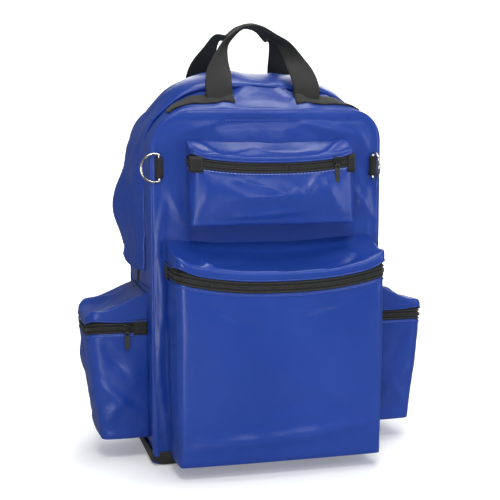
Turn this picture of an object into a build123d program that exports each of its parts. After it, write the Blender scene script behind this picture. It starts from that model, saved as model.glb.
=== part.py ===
from build123d import *
import math
import os

os.makedirs("parts", exist_ok=True)

# ---------------------------------------------------------------- driving dimensions (mm)
# +Z is up, the front faces -Y, and the origin is the centre of the base's underside.
BAG_W = 330          # width between the side gussets
BAG_D = 200          # depth between the front and back panels
WALL = 3             # coated fabric with its foam lining
GAP = 0.4            # room between pieces that move apart

# Depth position, crown height and corner radius of the bag's outline, front to back.
STATIONS = [(-100, 496, 62), (-55, 528, 88), (0, 544, 106), (60, 533, 88), (100, 507, 60)]
FLOOR_Z = 3          # underside of the fabric bottom, inside the boot
SEAM_Z = 250         # cross seam in each side gusset, where the main zip ends
FOLD_Z = 336         # line in the front panel where the cover folds forward
ZIP_HALF = 13        # width of one half of the main zip, teeth included
TEETH_W = 3.2        # one half's row of teeth

BOOT_H = 20
BOOT_WALL = 2.5
BOOT_CORNER = 2.4
BOOT_EDGE = 2
BOARD_INSET = 6      # base board, from the outside of the panels
BOARD_T = 3
FOAM_T = 8           # foam sheet inside the back panel
FOAM_TOP_Z = 490
FOAM_CORNER = 50

LOWER_TOP_W = 292    # lower pocket, width at its zip
LOWER_BOTTOM_W = 280
LOWER_D = 82
LOWER_Z = 20.5       # underside of the lower pocket
LOWER_ZIP_Z = 274
LOWER_ROOT_Z = 322   # where its lid is sewn to the front panel
LOWER_LID_FRONT_Z = 303
POCKET_WALL = 2.5
POCKET_ROUND = 2     # lower front edge of a front pocket
ZIP_BAND = 12        # height of the zip band round a pocket

UPPER_W = 232
UPPER_D = 34
UPPER_Z = 342
UPPER_ZIP_Z = 424
UPPER_ROOT_Z = 460
UPPER_LID_FRONT_Z = 454

SIDE_TOP_REACH = 88  # how far a side pocket stands out at its zip
SIDE_BOTTOM_REACH = 66
SIDE_FRONT_Y = -66
SIDE_REAR_Y = 60
SIDE_Z = 33
SIDE_ZIP_Z = 188
SIDE_ROOT_Z = 243

ZIP_PROUD = 0.6      # how far the zip tape stands out of the bag
TEETH_PROUD = 2.2
ZIP_LINING = 1.6     # how deep the zip tape reaches into the wall

FLAP_T = 1.6
FLAP_FRONT_Y = -55   # seam that holds the storm flap
FLAP_FREE_Y = 32     # its free edge
FLAP_TIP_Z = 276     # lower end of each tip

HANDLE_W = 38        # handle webbing
HANDLE_T = 3
HANDLE_TOP_Z = 628
HANDLE_LEG_X = 63    # leg centre
HANDLE_FRONT_Y = -78
HANDLE_REAR_Y = 74

RING_Z = 420
RING_WIRE = 4
RING_BAR = 36
RING_REACH = 25
RING_X = 155         # bar axis, inside the front panel's side seams
RING_Y = -104.5

STRAP_W = 88         # padded shoulder strap
STRAP_T = 12
STRAP_X = 74         # strap centre line
STRAP_BACK_Y = 103.2
STRAP_TOP_Z = 506
STRAP_END_Z = 8
PALS_H = 25
PALS_Z = [304, 256, 204, 160, 118]
WEB_T = 1.5

BUCKLE_W = 34
BUCKLE_T = 9
FEMALE_L = 32
LADDER_L = 24
PRONG_L = 24

RIBBON_H = 20        # webbing that lies on its edge behind the bag
RIBBON_T = 1.6

FACE_Y = STRAP_BACK_Y + STRAP_T          # outer face of a shoulder strap
SIDES = (("left", -1), ("right", 1))
HALF_W = BAG_W / 2
HALF_D = BAG_D / 2
FAR = 700            # larger than the bag, for cutting boxes


# ---------------------------------------------------------------- helpers
def slab(x0, x1, y0, y1, z0, z1, mode=Mode.ADD):
    """A box between two corners, in the open builder."""
    with Locations(((x0 + x1) / 2, (y0 + y1) / 2, (z0 + z1) / 2)):
        Box(x1 - x0, y1 - y0, z1 - z0, mode=mode)


def side_slab(sign, x0, x1, y0, y1, z0, z1, mode=Mode.ADD):
    """A slab given for the right side, mirrored to the left side where sign is -1."""
    slab(min(sign * x0, sign * x1), max(sign * x0, sign * x1), y0, y1, z0, z1, mode)


def bag_body(grow):
    """The closed body of the main compartment, grown on every side."""
    with BuildPart() as body:
        for y, top, corner in STATIONS:
            end = math.copysign(1, y) * grow if abs(y) == HALF_D else 0
            side_x, crown, radius = HALF_W + grow, top + grow, corner + grow
            shoulder, bottom = crown - radius, FLOOR_Z - grow
            with BuildSketch(Plane.XZ.offset(-(y + end))):
                with BuildLine():
                    Polyline((-side_x, shoulder), (-side_x, bottom), (side_x, bottom), (side_x, shoulder))
                    RadiusArc((-side_x, shoulder), (-side_x + radius, crown), radius)
                    Line((-side_x + radius, crown), (side_x - radius, crown))
                    RadiusArc((side_x - radius, crown), (side_x, shoulder), radius)
                make_face()
        loft(ruled=True)
    return body.part


def roof_z(y):
    """Height of the bag's crown at a depth."""
    for (y0, z0, _), (y1, z1, _) in zip(STATIONS, STATIONS[1:]):
        if y0 <= y <= y1:
            return z0 + (z1 - z0) * (y - y0) / (y1 - y0)


OUTER = bag_body(0)
INNER = bag_body(-WALL)
ZIP_OUTSIDE = bag_body(ZIP_PROUD)
ZIP_INSIDE = bag_body(-ZIP_LINING)
TEETH_OUTSIDE = bag_body(TEETH_PROUD)

with BuildPart() as shell:
    add(OUTER)
    add(INNER, mode=Mode.SUBTRACT)

with BuildPart() as zip_skin:
    add(ZIP_OUTSIDE)
    add(ZIP_INSIDE, mode=Mode.SUBTRACT)

with BuildPart() as teeth_skin:
    add(TEETH_OUTSIDE)
    add(ZIP_INSIDE, mode=Mode.SUBTRACT)

with BuildPart() as rear_tape:
    add(zip_skin.part)
    slab(-FAR, FAR, GAP, ZIP_HALF, SEAM_Z, FAR, Mode.INTERSECT)

with BuildPart() as rear_teeth:
    add(teeth_skin.part)
    slab(-FAR, FAR, GAP, TEETH_W, SEAM_Z, FAR, Mode.INTERSECT)

with BuildPart() as cover_tape:
    add(zip_skin.part)
    slab(-FAR, FAR, -ZIP_HALF, -GAP, FOLD_Z + GAP, FAR, Mode.INTERSECT)

with BuildPart() as cover_teeth:
    add(teeth_skin.part)
    slab(-FAR, FAR, -TEETH_W, -GAP, FOLD_Z + GAP, FAR, Mode.INTERSECT)

# ---------------------------------------------------------------- main body: panels and gussets
with BuildPart() as front_panel:
    add(shell.part)
    slab(-FAR, FAR, -FAR, -HALF_D + WALL, FLOOR_Z + WALL, FOLD_Z - GAP, Mode.INTERSECT)
front_panel.part.label = "front_panel"
export_step(front_panel.part, "parts/front_panel.step")

with BuildPart() as back_panel:
    add(shell.part)
    slab(-FAR, FAR, HALF_D - WALL, FAR, FLOOR_Z + WALL, FAR, Mode.INTERSECT)
back_panel.part.label = "back_panel"
export_step(back_panel.part, "parts/back_panel.step")

with BuildPart() as bottom_panel:
    add(shell.part)
    slab(-FAR, FAR, -FAR, FAR, 0, FLOOR_Z + WALL, Mode.INTERSECT)
bottom_panel.part.label = "bottom_panel"
export_step(bottom_panel.part, "parts/bottom_panel.step")

with BuildPart() as rear_gusset:
    add(shell.part)
    slab(-FAR, FAR, ZIP_HALF, HALF_D - WALL, SEAM_Z, FAR, Mode.INTERSECT)
rear_gusset.part.label = "rear_gusset"
export_step(rear_gusset.part, "parts/rear_gusset.step")

for side, sign in SIDES:
    with BuildPart() as lower_gusset:
        x0, x1 = HALF_W - WALL, HALF_W
        side_slab(sign, x0, x1, -HALF_D + WALL, HALF_D - WALL, FLOOR_Z + WALL, SEAM_Z)
        side_slab(sign, x0, x1, -HALF_D + WALL, -ZIP_HALF, SEAM_Z, FOLD_Z - GAP)
    lower_gusset.part.label = f"lower_gusset_{side}"
    export_step(lower_gusset.part, f"parts/lower_gusset_{side}.step")

with BuildPart() as main_zip_body_half:
    add(rear_tape.part)
    add(rear_teeth.part)
    for side, sign in SIDES:
        side_slab(sign, HALF_W - ZIP_LINING, HALF_W + ZIP_PROUD, -ZIP_HALF, -GAP, SEAM_Z, FOLD_Z - GAP)
        side_slab(sign, HALF_W - ZIP_LINING, HALF_W + TEETH_PROUD, -TEETH_W, -GAP, SEAM_Z, FOLD_Z - GAP)
main_zip_body_half.part.label = "main_zip_body_half"
export_step(main_zip_body_half.part, "parts/main_zip_body_half.step")

with BuildPart() as base_boot:
    boot_x, boot_y = HALF_W + BOOT_WALL, HALF_D + BOOT_WALL
    slab(-boot_x, boot_x, -boot_y, boot_y, 0, BOOT_H)
    fillet(base_boot.edges().filter_by(Axis.Z), BOOT_CORNER)
    fillet(base_boot.faces().sort_by(Axis.Z)[0].edges(), BOOT_EDGE)
    slab(-HALF_W, HALF_W, -HALF_D, HALF_D, FLOOR_Z, BOOT_H, Mode.SUBTRACT)
base_boot.part.label = "base_boot"
export_step(base_boot.part, "parts/base_boot.step")

with BuildPart() as base_board:
    board_z = FLOOR_Z + WALL
    board_x = HALF_W - BOARD_INSET
    slab(-board_x, board_x, -HALF_D + BOARD_INSET, HALF_D - BOARD_INSET - FOAM_T, board_z, board_z + BOARD_T)
    fillet(base_board.edges().filter_by(Axis.Z), 12)
base_board.part.label = "base_board"
export_step(base_board.part, "parts/base_board.step")

with BuildPart() as back_foam:
    foam_x = HALF_W - 10
    slab(-foam_x, foam_x, HALF_D - WALL - FOAM_T, HALF_D - WALL, FLOOR_Z + WALL, FOAM_TOP_Z)
    fillet(back_foam.edges().filter_by(Axis.Y).group_by(Axis.Z)[-1], FOAM_CORNER)
back_foam.part.label = "back_foam"
export_step(back_foam.part, "parts/back_foam.step")

# ---------------------------------------------------------------- front cover
with BuildPart() as cover_panel:
    add(shell.part)
    slab(-FAR, FAR, -FAR, -HALF_D + WALL, FOLD_Z + GAP, FAR, Mode.INTERSECT)
cover_panel.part.label = "cover_panel"
export_step(cover_panel.part, "parts/cover_panel.step")

with BuildPart() as cover_gusset:
    add(shell.part)
    slab(-FAR, FAR, -HALF_D + WALL, -ZIP_HALF, FOLD_Z + GAP, FAR, Mode.INTERSECT)
cover_gusset.part.label = "cover_gusset"
export_step(cover_gusset.part, "parts/cover_gusset.step")

with BuildPart() as main_zip_cover_half:
    add(cover_tape.part)
    add(cover_teeth.part)
main_zip_cover_half.part.label = "main_zip_cover_half"
export_step(main_zip_cover_half.part, "parts/main_zip_cover_half.step")


# Depth position, shoulder half width, crown height, corner radius, tip half width.
FLAP_STATIONS = [
    (FLAP_FRONT_Y, HALF_W + 0.6, 528.6, 88, HALF_W + 0.6),
    (-10, HALF_W + 5, 551.5, 106, HALF_W + 12),
    (FLAP_FREE_Y, HALF_W + 8, 553.0, 106, HALF_W + 22),
]


def flap_body(grow):
    """The space under the storm flap, grown by the flap's thickness for its outside."""
    with BuildPart() as body:
        for y, half_w, top, corner, tip_x in FLAP_STATIONS:
            leg_x, crown, radius, foot_x = half_w + grow, top + grow, corner + grow, tip_x + grow
            shoulder = crown - radius
            with BuildSketch(Plane.XZ.offset(-y)):
                with BuildLine():
                    Polyline((-leg_x, shoulder), (-foot_x, FLAP_TIP_Z), (foot_x, FLAP_TIP_Z), (leg_x, shoulder))
                    RadiusArc((-leg_x, shoulder), (-leg_x + radius, crown), radius)
                    Line((-leg_x + radius, crown), (leg_x - radius, crown))
                    RadiusArc((leg_x - radius, crown), (leg_x, shoulder), radius)
                make_face()
        loft(ruled=True)
    return body.part


with BuildPart() as storm_flap:
    add(flap_body(FLAP_T))
    add(flap_body(0), mode=Mode.SUBTRACT)
storm_flap.part.label = "storm_flap"
export_step(storm_flap.part, "parts/storm_flap.step")


# ---------------------------------------------------------------- pockets
def front_pocket(name, top_w, bottom_w, depth, z0, zip_z):
    """A pocket bag on the front panel: bottom, two sides and a front wall, open above."""
    with BuildPart() as pocket:
        for inset, mode in ((0, Mode.ADD), (POCKET_WALL, Mode.SUBTRACT)):
            with BuildSketch(Plane.XZ.offset(HALF_D)):
                with BuildLine():
                    Polyline(
                        (-bottom_w / 2 + inset, z0 + inset),
                        (bottom_w / 2 - inset, z0 + inset),
                        (top_w / 2 - inset, zip_z),
                        (-top_w / 2 + inset, zip_z),
                        close=True,
                    )
                make_face()
            extrude(amount=depth - inset, mode=mode)
        fillet(pocket.faces().sort_by(Axis.Y)[0].edges().sort_by(Axis.Z)[0], POCKET_ROUND)
    pocket.part.label = name
    export_step(pocket.part, f"parts/{name}.step")


def front_pocket_zip(name, top_w, depth, zip_z):
    """The zip band along a front pocket's rim: tape with its row of teeth at the top."""
    with BuildPart() as band:
        teeth_z = zip_z + ZIP_BAND - 4
        for reach, proud, z0, z1 in ((0, 0, zip_z, teeth_z), (1, 1, teeth_z, zip_z + ZIP_BAND)):
            half = top_w / 2 + proud
            slab(-half, half, -HALF_D - depth - reach, -HALF_D, z0, z1)
            half = top_w / 2 - POCKET_WALL + 0.5
            slab(-half, half, -HALF_D - depth + 2, -HALF_D, z0, z1, Mode.SUBTRACT)
    band.part.label = name
    export_step(band.part, f"parts/{name}.step")


def front_pocket_lid(name, top_w, depth, zip_z, root_z, front_z):
    """A pocket's lid: a sloping top with skirts that come down to the zip."""
    low = zip_z + ZIP_BAND + GAP
    back_y = -HALF_D - GAP
    front_y = -HALF_D - depth - 2
    with BuildPart() as lid:
        for inset, mode in ((0, Mode.ADD), (POCKET_WALL, Mode.SUBTRACT)):
            with BuildSketch(Plane.YZ.offset(-top_w / 2 - 2 + inset)):
                with BuildLine():
                    Polyline(
                        (back_y, low),
                        (back_y, root_z - inset),
                        (front_y + 10, front_z - inset),
                        (front_y + inset, front_z - 8),
                        (front_y + inset, low),
                        close=True,
                    )
                make_face()
            extrude(amount=top_w + 4 - 2 * inset, mode=mode)
    lid.part.label = name
    export_step(lid.part, f"parts/{name}.step")


front_pocket("lower_pocket", LOWER_TOP_W, LOWER_BOTTOM_W, LOWER_D, LOWER_Z, LOWER_ZIP_Z)
front_pocket("upper_pocket", UPPER_W, UPPER_W, UPPER_D, UPPER_Z, UPPER_ZIP_Z)
front_pocket_zip("lower_pocket_zip", LOWER_TOP_W, LOWER_D, LOWER_ZIP_Z)
front_pocket_zip("upper_pocket_zip", UPPER_W, UPPER_D, UPPER_ZIP_Z)
front_pocket_lid("lower_pocket_lid", LOWER_TOP_W, LOWER_D, LOWER_ZIP_Z, LOWER_ROOT_Z,
                 LOWER_LID_FRONT_Z)
front_pocket_lid("upper_pocket_lid", UPPER_W, UPPER_D, UPPER_ZIP_Z, UPPER_ROOT_Z,
                 UPPER_LID_FRONT_Z)


with BuildPart() as side_pocket_zips:
    teeth_z = SIDE_ZIP_Z + ZIP_BAND - 4
    for side, sign in SIDES:
        for proud, z0, z1 in ((0, SIDE_ZIP_Z, teeth_z), (1, teeth_z, SIDE_ZIP_Z + ZIP_BAND)):
            out_x = HALF_W + SIDE_TOP_REACH
            side_slab(sign, HALF_W, out_x + proud, SIDE_FRONT_Y - proud, SIDE_REAR_Y + proud, z0, z1)
            side_slab(sign, HALF_W, out_x - 2, SIDE_FRONT_Y + 2, SIDE_REAR_Y - 2, z0, z1, Mode.SUBTRACT)
side_pocket_zips.part.label = "side_pocket_zips"
export_step(side_pocket_zips.part, "parts/side_pocket_zips.step")

for side, sign in SIDES:
    with BuildPart() as pocket:
        for inset, mode in ((0, Mode.ADD), (POCKET_WALL, Mode.SUBTRACT)):
            with BuildSketch(Plane.XZ.offset(-SIDE_REAR_Y + inset)):
                with BuildLine():
                    Polyline(
                        (HALF_W, SIDE_Z + inset),
                        (HALF_W + SIDE_BOTTOM_REACH - inset, SIDE_Z + inset),
                        (HALF_W + SIDE_TOP_REACH - inset, SIDE_ZIP_Z),
                        (HALF_W, SIDE_ZIP_Z),
                        close=True,
                    )
                make_face()
            extrude(amount=SIDE_REAR_Y - SIDE_FRONT_Y - 2 * inset, mode=mode)
        if sign < 0:
            mirror(about=Plane.YZ, mode=Mode.REPLACE)
    pocket.part.label = f"side_pocket_{side}"
    export_step(pocket.part, f"parts/side_pocket_{side}.step")

    with BuildPart() as lid:
        low = SIDE_ZIP_Z + ZIP_BAND + GAP
        in_x = HALF_W + GAP
        out_x = HALF_W + SIDE_TOP_REACH + 2
        for inset, mode in ((0, Mode.ADD), (POCKET_WALL, Mode.SUBTRACT)):
            with BuildSketch(Plane.XZ.offset(-SIDE_REAR_Y - 2 + inset)):
                with BuildLine():
                    Polyline(
                        (in_x, low),
                        (out_x - inset, low),
                        (out_x - inset, SIDE_ROOT_Z - 16),
                        (out_x - 12, SIDE_ROOT_Z - 6 - inset),
                        (in_x, SIDE_ROOT_Z - inset),
                        close=True,
                    )
                make_face()
            extrude(amount=SIDE_REAR_Y - SIDE_FRONT_Y + 4 - 2 * inset, mode=mode)
        if sign < 0:
            mirror(about=Plane.YZ, mode=Mode.REPLACE)
    lid.part.label = f"side_pocket_lid_{side}"
    export_step(lid.part, f"parts/side_pocket_lid_{side}.step")


# ---------------------------------------------------------------- zip end tabs, sliders and pulls
TAB = 20             # width of the webbing sewn over a side pocket's zip end
TAB_IN = 1.2         # its faces, out from the pocket
TAB_OUT = 2.8
TAB_DROP = 8         # how far it reaches below the zip
LOWER_X = LOWER_TOP_W / 2
UPPER_FRONT_Y = -HALF_D - UPPER_D

with BuildPart() as pocket_end_tabs:
    slab(-LOWER_X - TAB_OUT, -LOWER_X - TAB_IN, -HALF_D - 24, -HALF_D - 6,
         LOWER_ZIP_Z - TAB_DROP, LOWER_ZIP_Z + ZIP_BAND)
    tab_z0, tab_z1 = SIDE_ZIP_Z - TAB_DROP, SIDE_ZIP_Z + ZIP_BAND
    for side, sign in SIDES:
        x0, x1 = HALF_W + 3, HALF_W + 3 + TAB
        side_slab(sign, x0, x1, SIDE_REAR_Y + TAB_IN, SIDE_REAR_Y + TAB_OUT, tab_z0, tab_z1)
        side_slab(sign, x0, x1, SIDE_FRONT_Y - TAB_OUT, SIDE_FRONT_Y - TAB_IN, tab_z0, tab_z1)
pocket_end_tabs.part.label = "pocket_end_tabs"
export_step(pocket_end_tabs.part, "parts/pocket_end_tabs.step")

with BuildPart() as upper_end_tabs:
    for x0, x1 in ((-117, -97), (104, 114)):
        slab(x0, x1, UPPER_FRONT_Y - TAB_OUT, UPPER_FRONT_Y - TAB_IN,
             UPPER_ZIP_Z - TAB_DROP, UPPER_ZIP_Z + ZIP_BAND)
upper_end_tabs.part.label = "upper_end_tabs"
export_step(upper_end_tabs.part, "parts/upper_end_tabs.step")

SLIDER_L = 11        # along the zip
SLIDER_W = 9
SLIDER_T = 3.4
PULL_L = 26
PULL_W = 7
PULL_T = 1.6


def slider(name, face):
    """A zip slider on a face plane: its local Z stands off the zip and its X runs along it."""
    with BuildPart(face) as body:
        with BuildSketch(face):
            RectangleRounded(SLIDER_L, SLIDER_W, 2)
        extrude(amount=SLIDER_T)
        fillet(body.faces().sort_by(Axis(face.origin, face.z_dir))[-1].edges(), 0.8)
    body.part.label = name
    export_step(body.part, f"parts/{name}.step")


def zip_pull(name, face):
    """A pull that hangs from its slider along the face plane's -Y."""
    top = -SLIDER_W / 2 - GAP
    with BuildPart(face) as tag:
        with BuildSketch(face.offset(SLIDER_T / 2)):
            with Locations((0, top - PULL_L / 2)):
                RectangleRounded(PULL_W, PULL_L, 2.5)
            with Locations((0, top - 4)):
                RectangleRounded(PULL_W - 3.4, 3.6, 1.2, mode=Mode.SUBTRACT)
        extrude(amount=PULL_T)
    tag.part.label = name
    export_step(tag.part, f"parts/{name}.step")


ZIP_LINE = ZIP_BAND - 2
UPPER_SLIDER = Plane(origin=(90, UPPER_FRONT_Y - 1 - GAP, UPPER_ZIP_Z + ZIP_LINE - 4),
                     x_dir=(1, 0, 0), z_dir=(0, -1, 0))
LOWER_SLIDER = Plane(origin=(LOWER_X + 1 + GAP, -HALF_D - 18, LOWER_ZIP_Z + ZIP_LINE - 4),
                     x_dir=(0, 1, 0), z_dir=(1, 0, 0))
LEFT_SLIDER = Plane(origin=(-HALF_W - 32, SIDE_FRONT_Y - 1 - GAP, SIDE_ZIP_Z + ZIP_LINE - 4),
                    x_dir=(1, 0, 0), z_dir=(0, -1, 0))
RIGHT_SLIDER = Plane(origin=(HALF_W + 32, SIDE_REAR_Y + 1 + GAP, SIDE_ZIP_Z + ZIP_LINE - 4),
                     x_dir=(-1, 0, 0), z_dir=(0, 1, 0))
for place, face in (("upper", UPPER_SLIDER), ("lower", LOWER_SLIDER), ("side_left", LEFT_SLIDER),
                    ("side_right", RIGHT_SLIDER)):
    slider(f"{place}_slider", face)
    zip_pull(f"{place}_pull", face)

for side, sign in SIDES:
    crown = Plane(origin=(sign * 9, 0, STATIONS[2][1] + TEETH_PROUD + GAP), x_dir=(1, 0, 0), z_dir=(0, 0, 1))
    slider(f"main_slider_{side}", crown)

# ---------------------------------------------------------------- D-rings
TAB_WRAP = 1.9       # webbing round a ring's bar
TAB_H = 28

with BuildPart() as d_ring_tabs:
    with BuildSketch(Plane.XY.offset(RING_Z - TAB_H / 2)):
        for side, sign in SIDES:
            with Locations((sign * RING_X, RING_Y)):
                Circle(RING_WIRE / 2 + TAB_WRAP)
            with Locations((sign * RING_X, (RING_Y - HALF_D) / 2)):
                Rectangle(RING_WIRE + 2 * TAB_WRAP, -HALF_D - RING_Y)
            with Locations((sign * RING_X, RING_Y)):
                Circle(RING_WIRE / 2 + 0.3, mode=Mode.SUBTRACT)
    extrude(amount=TAB_H)
d_ring_tabs.part.label = "d_ring_tabs"
export_step(d_ring_tabs.part, "parts/d_ring_tabs.step")

# The left ring lies outward over the seam, and the right ring stands forward.
for side, bar_x, reach in (("left", -RING_X, (-1, 0, 0)), ("right", RING_X, (0, -1, 0))):
    with BuildPart() as d_ring:
        ring_plane = Plane(origin=(bar_x, RING_Y, RING_Z), x_dir=reach, z_dir=Vector(*reach).cross(Vector(0, 0, 1)))
        with BuildLine(ring_plane) as bow:
            ThreePointArc((0, RING_BAR / 2), (RING_REACH, 0), (0, -RING_BAR / 2))
        with BuildSketch(Plane(origin=bow.line @ 0, z_dir=bow.line % 0)):
            Circle(RING_WIRE / 2)
        sweep()
        with Locations((bar_x, RING_Y, RING_Z)):
            Cylinder(RING_WIRE / 2, RING_BAR)
        with Locations((bar_x, RING_Y, RING_Z + RING_BAR / 2), (bar_x, RING_Y, RING_Z - RING_BAR / 2)):
            Sphere(RING_WIRE / 2)
    d_ring.part.label = f"d_ring_{side}"
    export_step(d_ring.part, f"parts/d_ring_{side}.step")

# ---------------------------------------------------------------- top handle
ANCHOR_T = 2
LEG_IN = HANDLE_LEG_X - HANDLE_W / 2
LEG_OUT = HANDLE_LEG_X + HANDLE_W / 2
ANCHOR_END_X = 138
GRIP_HALF = 26
GRIP_H = 19

ANCHOR_SKIN = bag_body(ANCHOR_T)
for place, base_y in (("front", HANDLE_FRONT_Y), ("rear", HANDLE_REAR_Y)):
    with BuildPart() as anchors:
        add(ANCHOR_SKIN)
        add(OUTER, mode=Mode.SUBTRACT)
        slab(-ANCHOR_END_X, ANCHOR_END_X, base_y - 13, base_y + 13, 440, FAR, Mode.INTERSECT)
        slab(-LEG_IN, LEG_IN, -FAR, FAR, 0, FAR, Mode.SUBTRACT)
    anchors.part.label = f"handle_anchors_{place}"
    export_step(anchors.part, f"parts/handle_anchors_{place}.step")

    inward = -1 if base_y > 0 else 1
    pivot_z = roof_z(base_y) + 8
    top_y = -inward * (HANDLE_T / 2 + 1.2)
    lean = Vector(0, top_y - base_y, HANDLE_TOP_Z - pivot_z)
    height = lean.length
    leaning = Plane(origin=(0, base_y, pivot_z), x_dir=(1, 0, 0),
                    z_dir=Vector(1, 0, 0).cross(lean.normalized()))
    with BuildPart() as handle:
        with BuildSketch(leaning.offset(-HANDLE_T / 2)):
            with BuildLine():
                Polyline(
                    (-LEG_OUT, 0),
                    (-LEG_OUT + 4, height * 0.45),
                    (-GRIP_HALF - 12, height - 9),
                    (-GRIP_HALF, height),
                    (GRIP_HALF, height),
                    (GRIP_HALF + 12, height - 9),
                    (LEG_OUT - 4, height * 0.45),
                    (LEG_OUT, 0),
                    (LEG_IN, 0),
                    (LEG_IN - 3, height * 0.45),
                    (GRIP_HALF - 4, height - GRIP_H),
                    (-GRIP_HALF + 4, height - GRIP_H),
                    (-LEG_IN + 3, height * 0.45),
                    (-LEG_IN, 0),
                    close=True,
                )
            make_face()
        extrude(amount=HANDLE_T)
    handle.part.label = f"handle_{place}"
    export_step(handle.part, f"parts/handle_{place}.step")

# ---------------------------------------------------------------- shoulder straps
BEND_Z = 118         # where a strap starts to curve outward
END_IN, END_OUT = 72, 132
LINING = 2


def strap_slab(sign, inset, y0, thickness):
    """A shoulder strap's slab: straight down the back, then curving out to a narrower end."""
    inner, outer = STRAP_X - STRAP_W / 2 + inset, STRAP_X + STRAP_W / 2 - inset
    low, high = STRAP_END_Z + inset, STRAP_TOP_Z - inset
    with BuildPart() as piece:
        with BuildSketch(Plane.XZ.offset(-y0)):
            with BuildLine():
                Line((sign * inner, high), (sign * outer, high))
                Line((sign * outer, high), (sign * outer, BEND_Z))
                ThreePointArc((sign * outer, BEND_Z), (sign * (outer + 3.5), 64), (sign * (END_OUT - inset), low))
                Line((sign * (END_OUT - inset), low), (sign * (END_IN + inset), low))
                ThreePointArc((sign * (END_IN + inset), low), (sign * (inner + 13), 64), (sign * inner, BEND_Z))
                Line((sign * inner, BEND_Z), (sign * inner, high))
            make_face()
        extrude(amount=-thickness)
    return piece.part


for side, sign in SIDES:
    with BuildPart() as strap:
        add(strap_slab(sign, 0, STRAP_BACK_Y, STRAP_T))
        add(strap_slab(sign, LINING, STRAP_BACK_Y + LINING, STRAP_T - 2 * LINING), mode=Mode.SUBTRACT)
    strap.part.label = f"shoulder_strap_{side}"
    export_step(strap.part, f"parts/shoulder_strap_{side}.step")

    with BuildPart() as foam:
        add(strap_slab(sign, LINING + 0.2, STRAP_BACK_Y + LINING + 0.2, STRAP_T - 2 * LINING - 0.4))
    foam.part.label = f"strap_foam_{side}"
    export_step(foam.part, f"parts/strap_foam_{side}.step")

    with BuildPart() as webbing:
        x0, x1 = STRAP_X - PALS_H / 2, STRAP_X + PALS_H / 2
        side_slab(sign, x0, x1, FACE_Y, FACE_Y + WEB_T, PALS_Z[-1] - PALS_H / 2, STRAP_TOP_Z - 4)
        for z in PALS_Z:
            half = STRAP_W / 2 - 3
            side_slab(sign, STRAP_X - half, STRAP_X + half, FACE_Y + WEB_T, FACE_Y + 2 * WEB_T,
                      z - PALS_H / 2, z + PALS_H / 2)
    webbing.part.label = f"strap_webbing_{side}"
    export_step(webbing.part, f"parts/strap_webbing_{side}.step")

# ---------------------------------------------------------------- shoulder strap buckles
# Side, x and z of the joint between the two halves, and the tilt of the lower end outward.
BUCKLES = (("left", -78, 50, 3), ("right", 112, 54, 24))
FIT = 0.4


def buckle_plane(x, z, tilt):
    """Plane on a strap's face: local Y points up the strap, local Z away from the back."""
    lean = math.copysign(tilt, x)
    up = Vector(-math.sin(math.radians(lean)), 0, math.cos(math.radians(lean)))
    return Plane(origin=(x, FACE_Y + 0.6, z), x_dir=up.cross(Vector(0, 1, 0)), z_dir=(0, 1, 0))


for side, x, z, tilt in BUCKLES:
    face = buckle_plane(x, z, tilt)
    half_w = BUCKLE_W / 2
    with BuildPart(face) as female:
        with BuildSketch(face):
            with Locations((0, GAP / 2 + FEMALE_L / 2)):
                RectangleRounded(BUCKLE_W, FEMALE_L - GAP, 4)
            with Locations((0, FEMALE_L - 4.4)):
                SlotOverall(BUCKLE_W - 8, 4, mode=Mode.SUBTRACT)
            with Locations((-half_w - 1.4, 13), (half_w + 1.4, 13)):
                Circle(5, mode=Mode.SUBTRACT)
        extrude(amount=BUCKLE_T)
        outer_rim = female.faces().sort_by(Axis.Y)[-1].outer_wire().edges()
        fillet(outer_rim, 1.2)
        with BuildSketch(face.offset(2)):
            with Locations((0, 11)):
                Rectangle(BUCKLE_W - 11, 24)
        extrude(amount=BUCKLE_T - 4, mode=Mode.SUBTRACT)
    female.part.label = f"buckle_female_{side}"
    export_step(female.part, f"parts/buckle_female_{side}.step")

    with BuildPart(face) as male:
        with BuildSketch(face.offset(1.5)):
            with Locations((0, -LADDER_L / 2)):
                RectangleRounded(BUCKLE_W, LADDER_L, 3)
            with Locations((0, -9), (0, -17.5)):
                SlotOverall(BUCKLE_W - 7, 4.6, mode=Mode.SUBTRACT)
        extrude(amount=BUCKLE_T - 3)
        fillet(male.faces().sort_by(Axis.Y)[-1].outer_wire().edges(), 1)
        with BuildSketch(face.offset(2 + FIT)):
            for arm_x in (-8.6, 8.6):
                with Locations((arm_x, (PRONG_L - 4) / 2 - 1)):
                    RectangleRounded(3.6, PRONG_L - 4, 1.4)
            with Locations((0, (PRONG_L - 6) / 2 - 1)):
                RectangleRounded(5, PRONG_L - 6, 1.6)
        extrude(amount=BUCKLE_T - 4 - 2 * FIT)
    male.part.label = f"buckle_male_{side}"
    export_step(male.part, f"parts/buckle_male_{side}.step")

# ---------------------------------------------------------------- lower webbing
# Webbing that lies on its edge on the ground behind the bag, in plan.
WEBBING_ROUTES = {
    "left": (
        [(-79, 121), (-82, 160), (-95, 205), (-120, 226), (-144, 206), (-150, 160), (-148, 125), (-144, 103.4)],
        [(-48, 118), (-50, 150), (-58, 185), (-76, 222)],
    ),
    "right": (
        [(120, 122), (110, 144), (88, 150), (66, 134), (58, 103.4)],
        [(128, 122), (146, 136), (158, 158), (150, 176)],
    ),
}
for side, sign in SIDES:
    with BuildPart() as ribbons:
        for route in WEBBING_ROUTES[side]:
            with BuildSketch(Plane.XY.offset(1)):
                with BuildLine() as path:
                    Spline(*route)
                trace(line_width=RIBBON_T)
            extrude(amount=RIBBON_H)
    ribbons.part.label = f"lower_webbing_{side}"
    export_step(ribbons.part, f"parts/lower_webbing_{side}.step")

# ---------------------------------------------------------------- sternum strap
STERNUM_Z = PALS_Z[3]
STERNUM_X = -12
STERNUM_Y = FACE_Y + 2 * WEB_T
STERNUM_W = 20
CATCH_TOP, CATCH_MID, CATCH_LOW = 138, 112, 88

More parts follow.
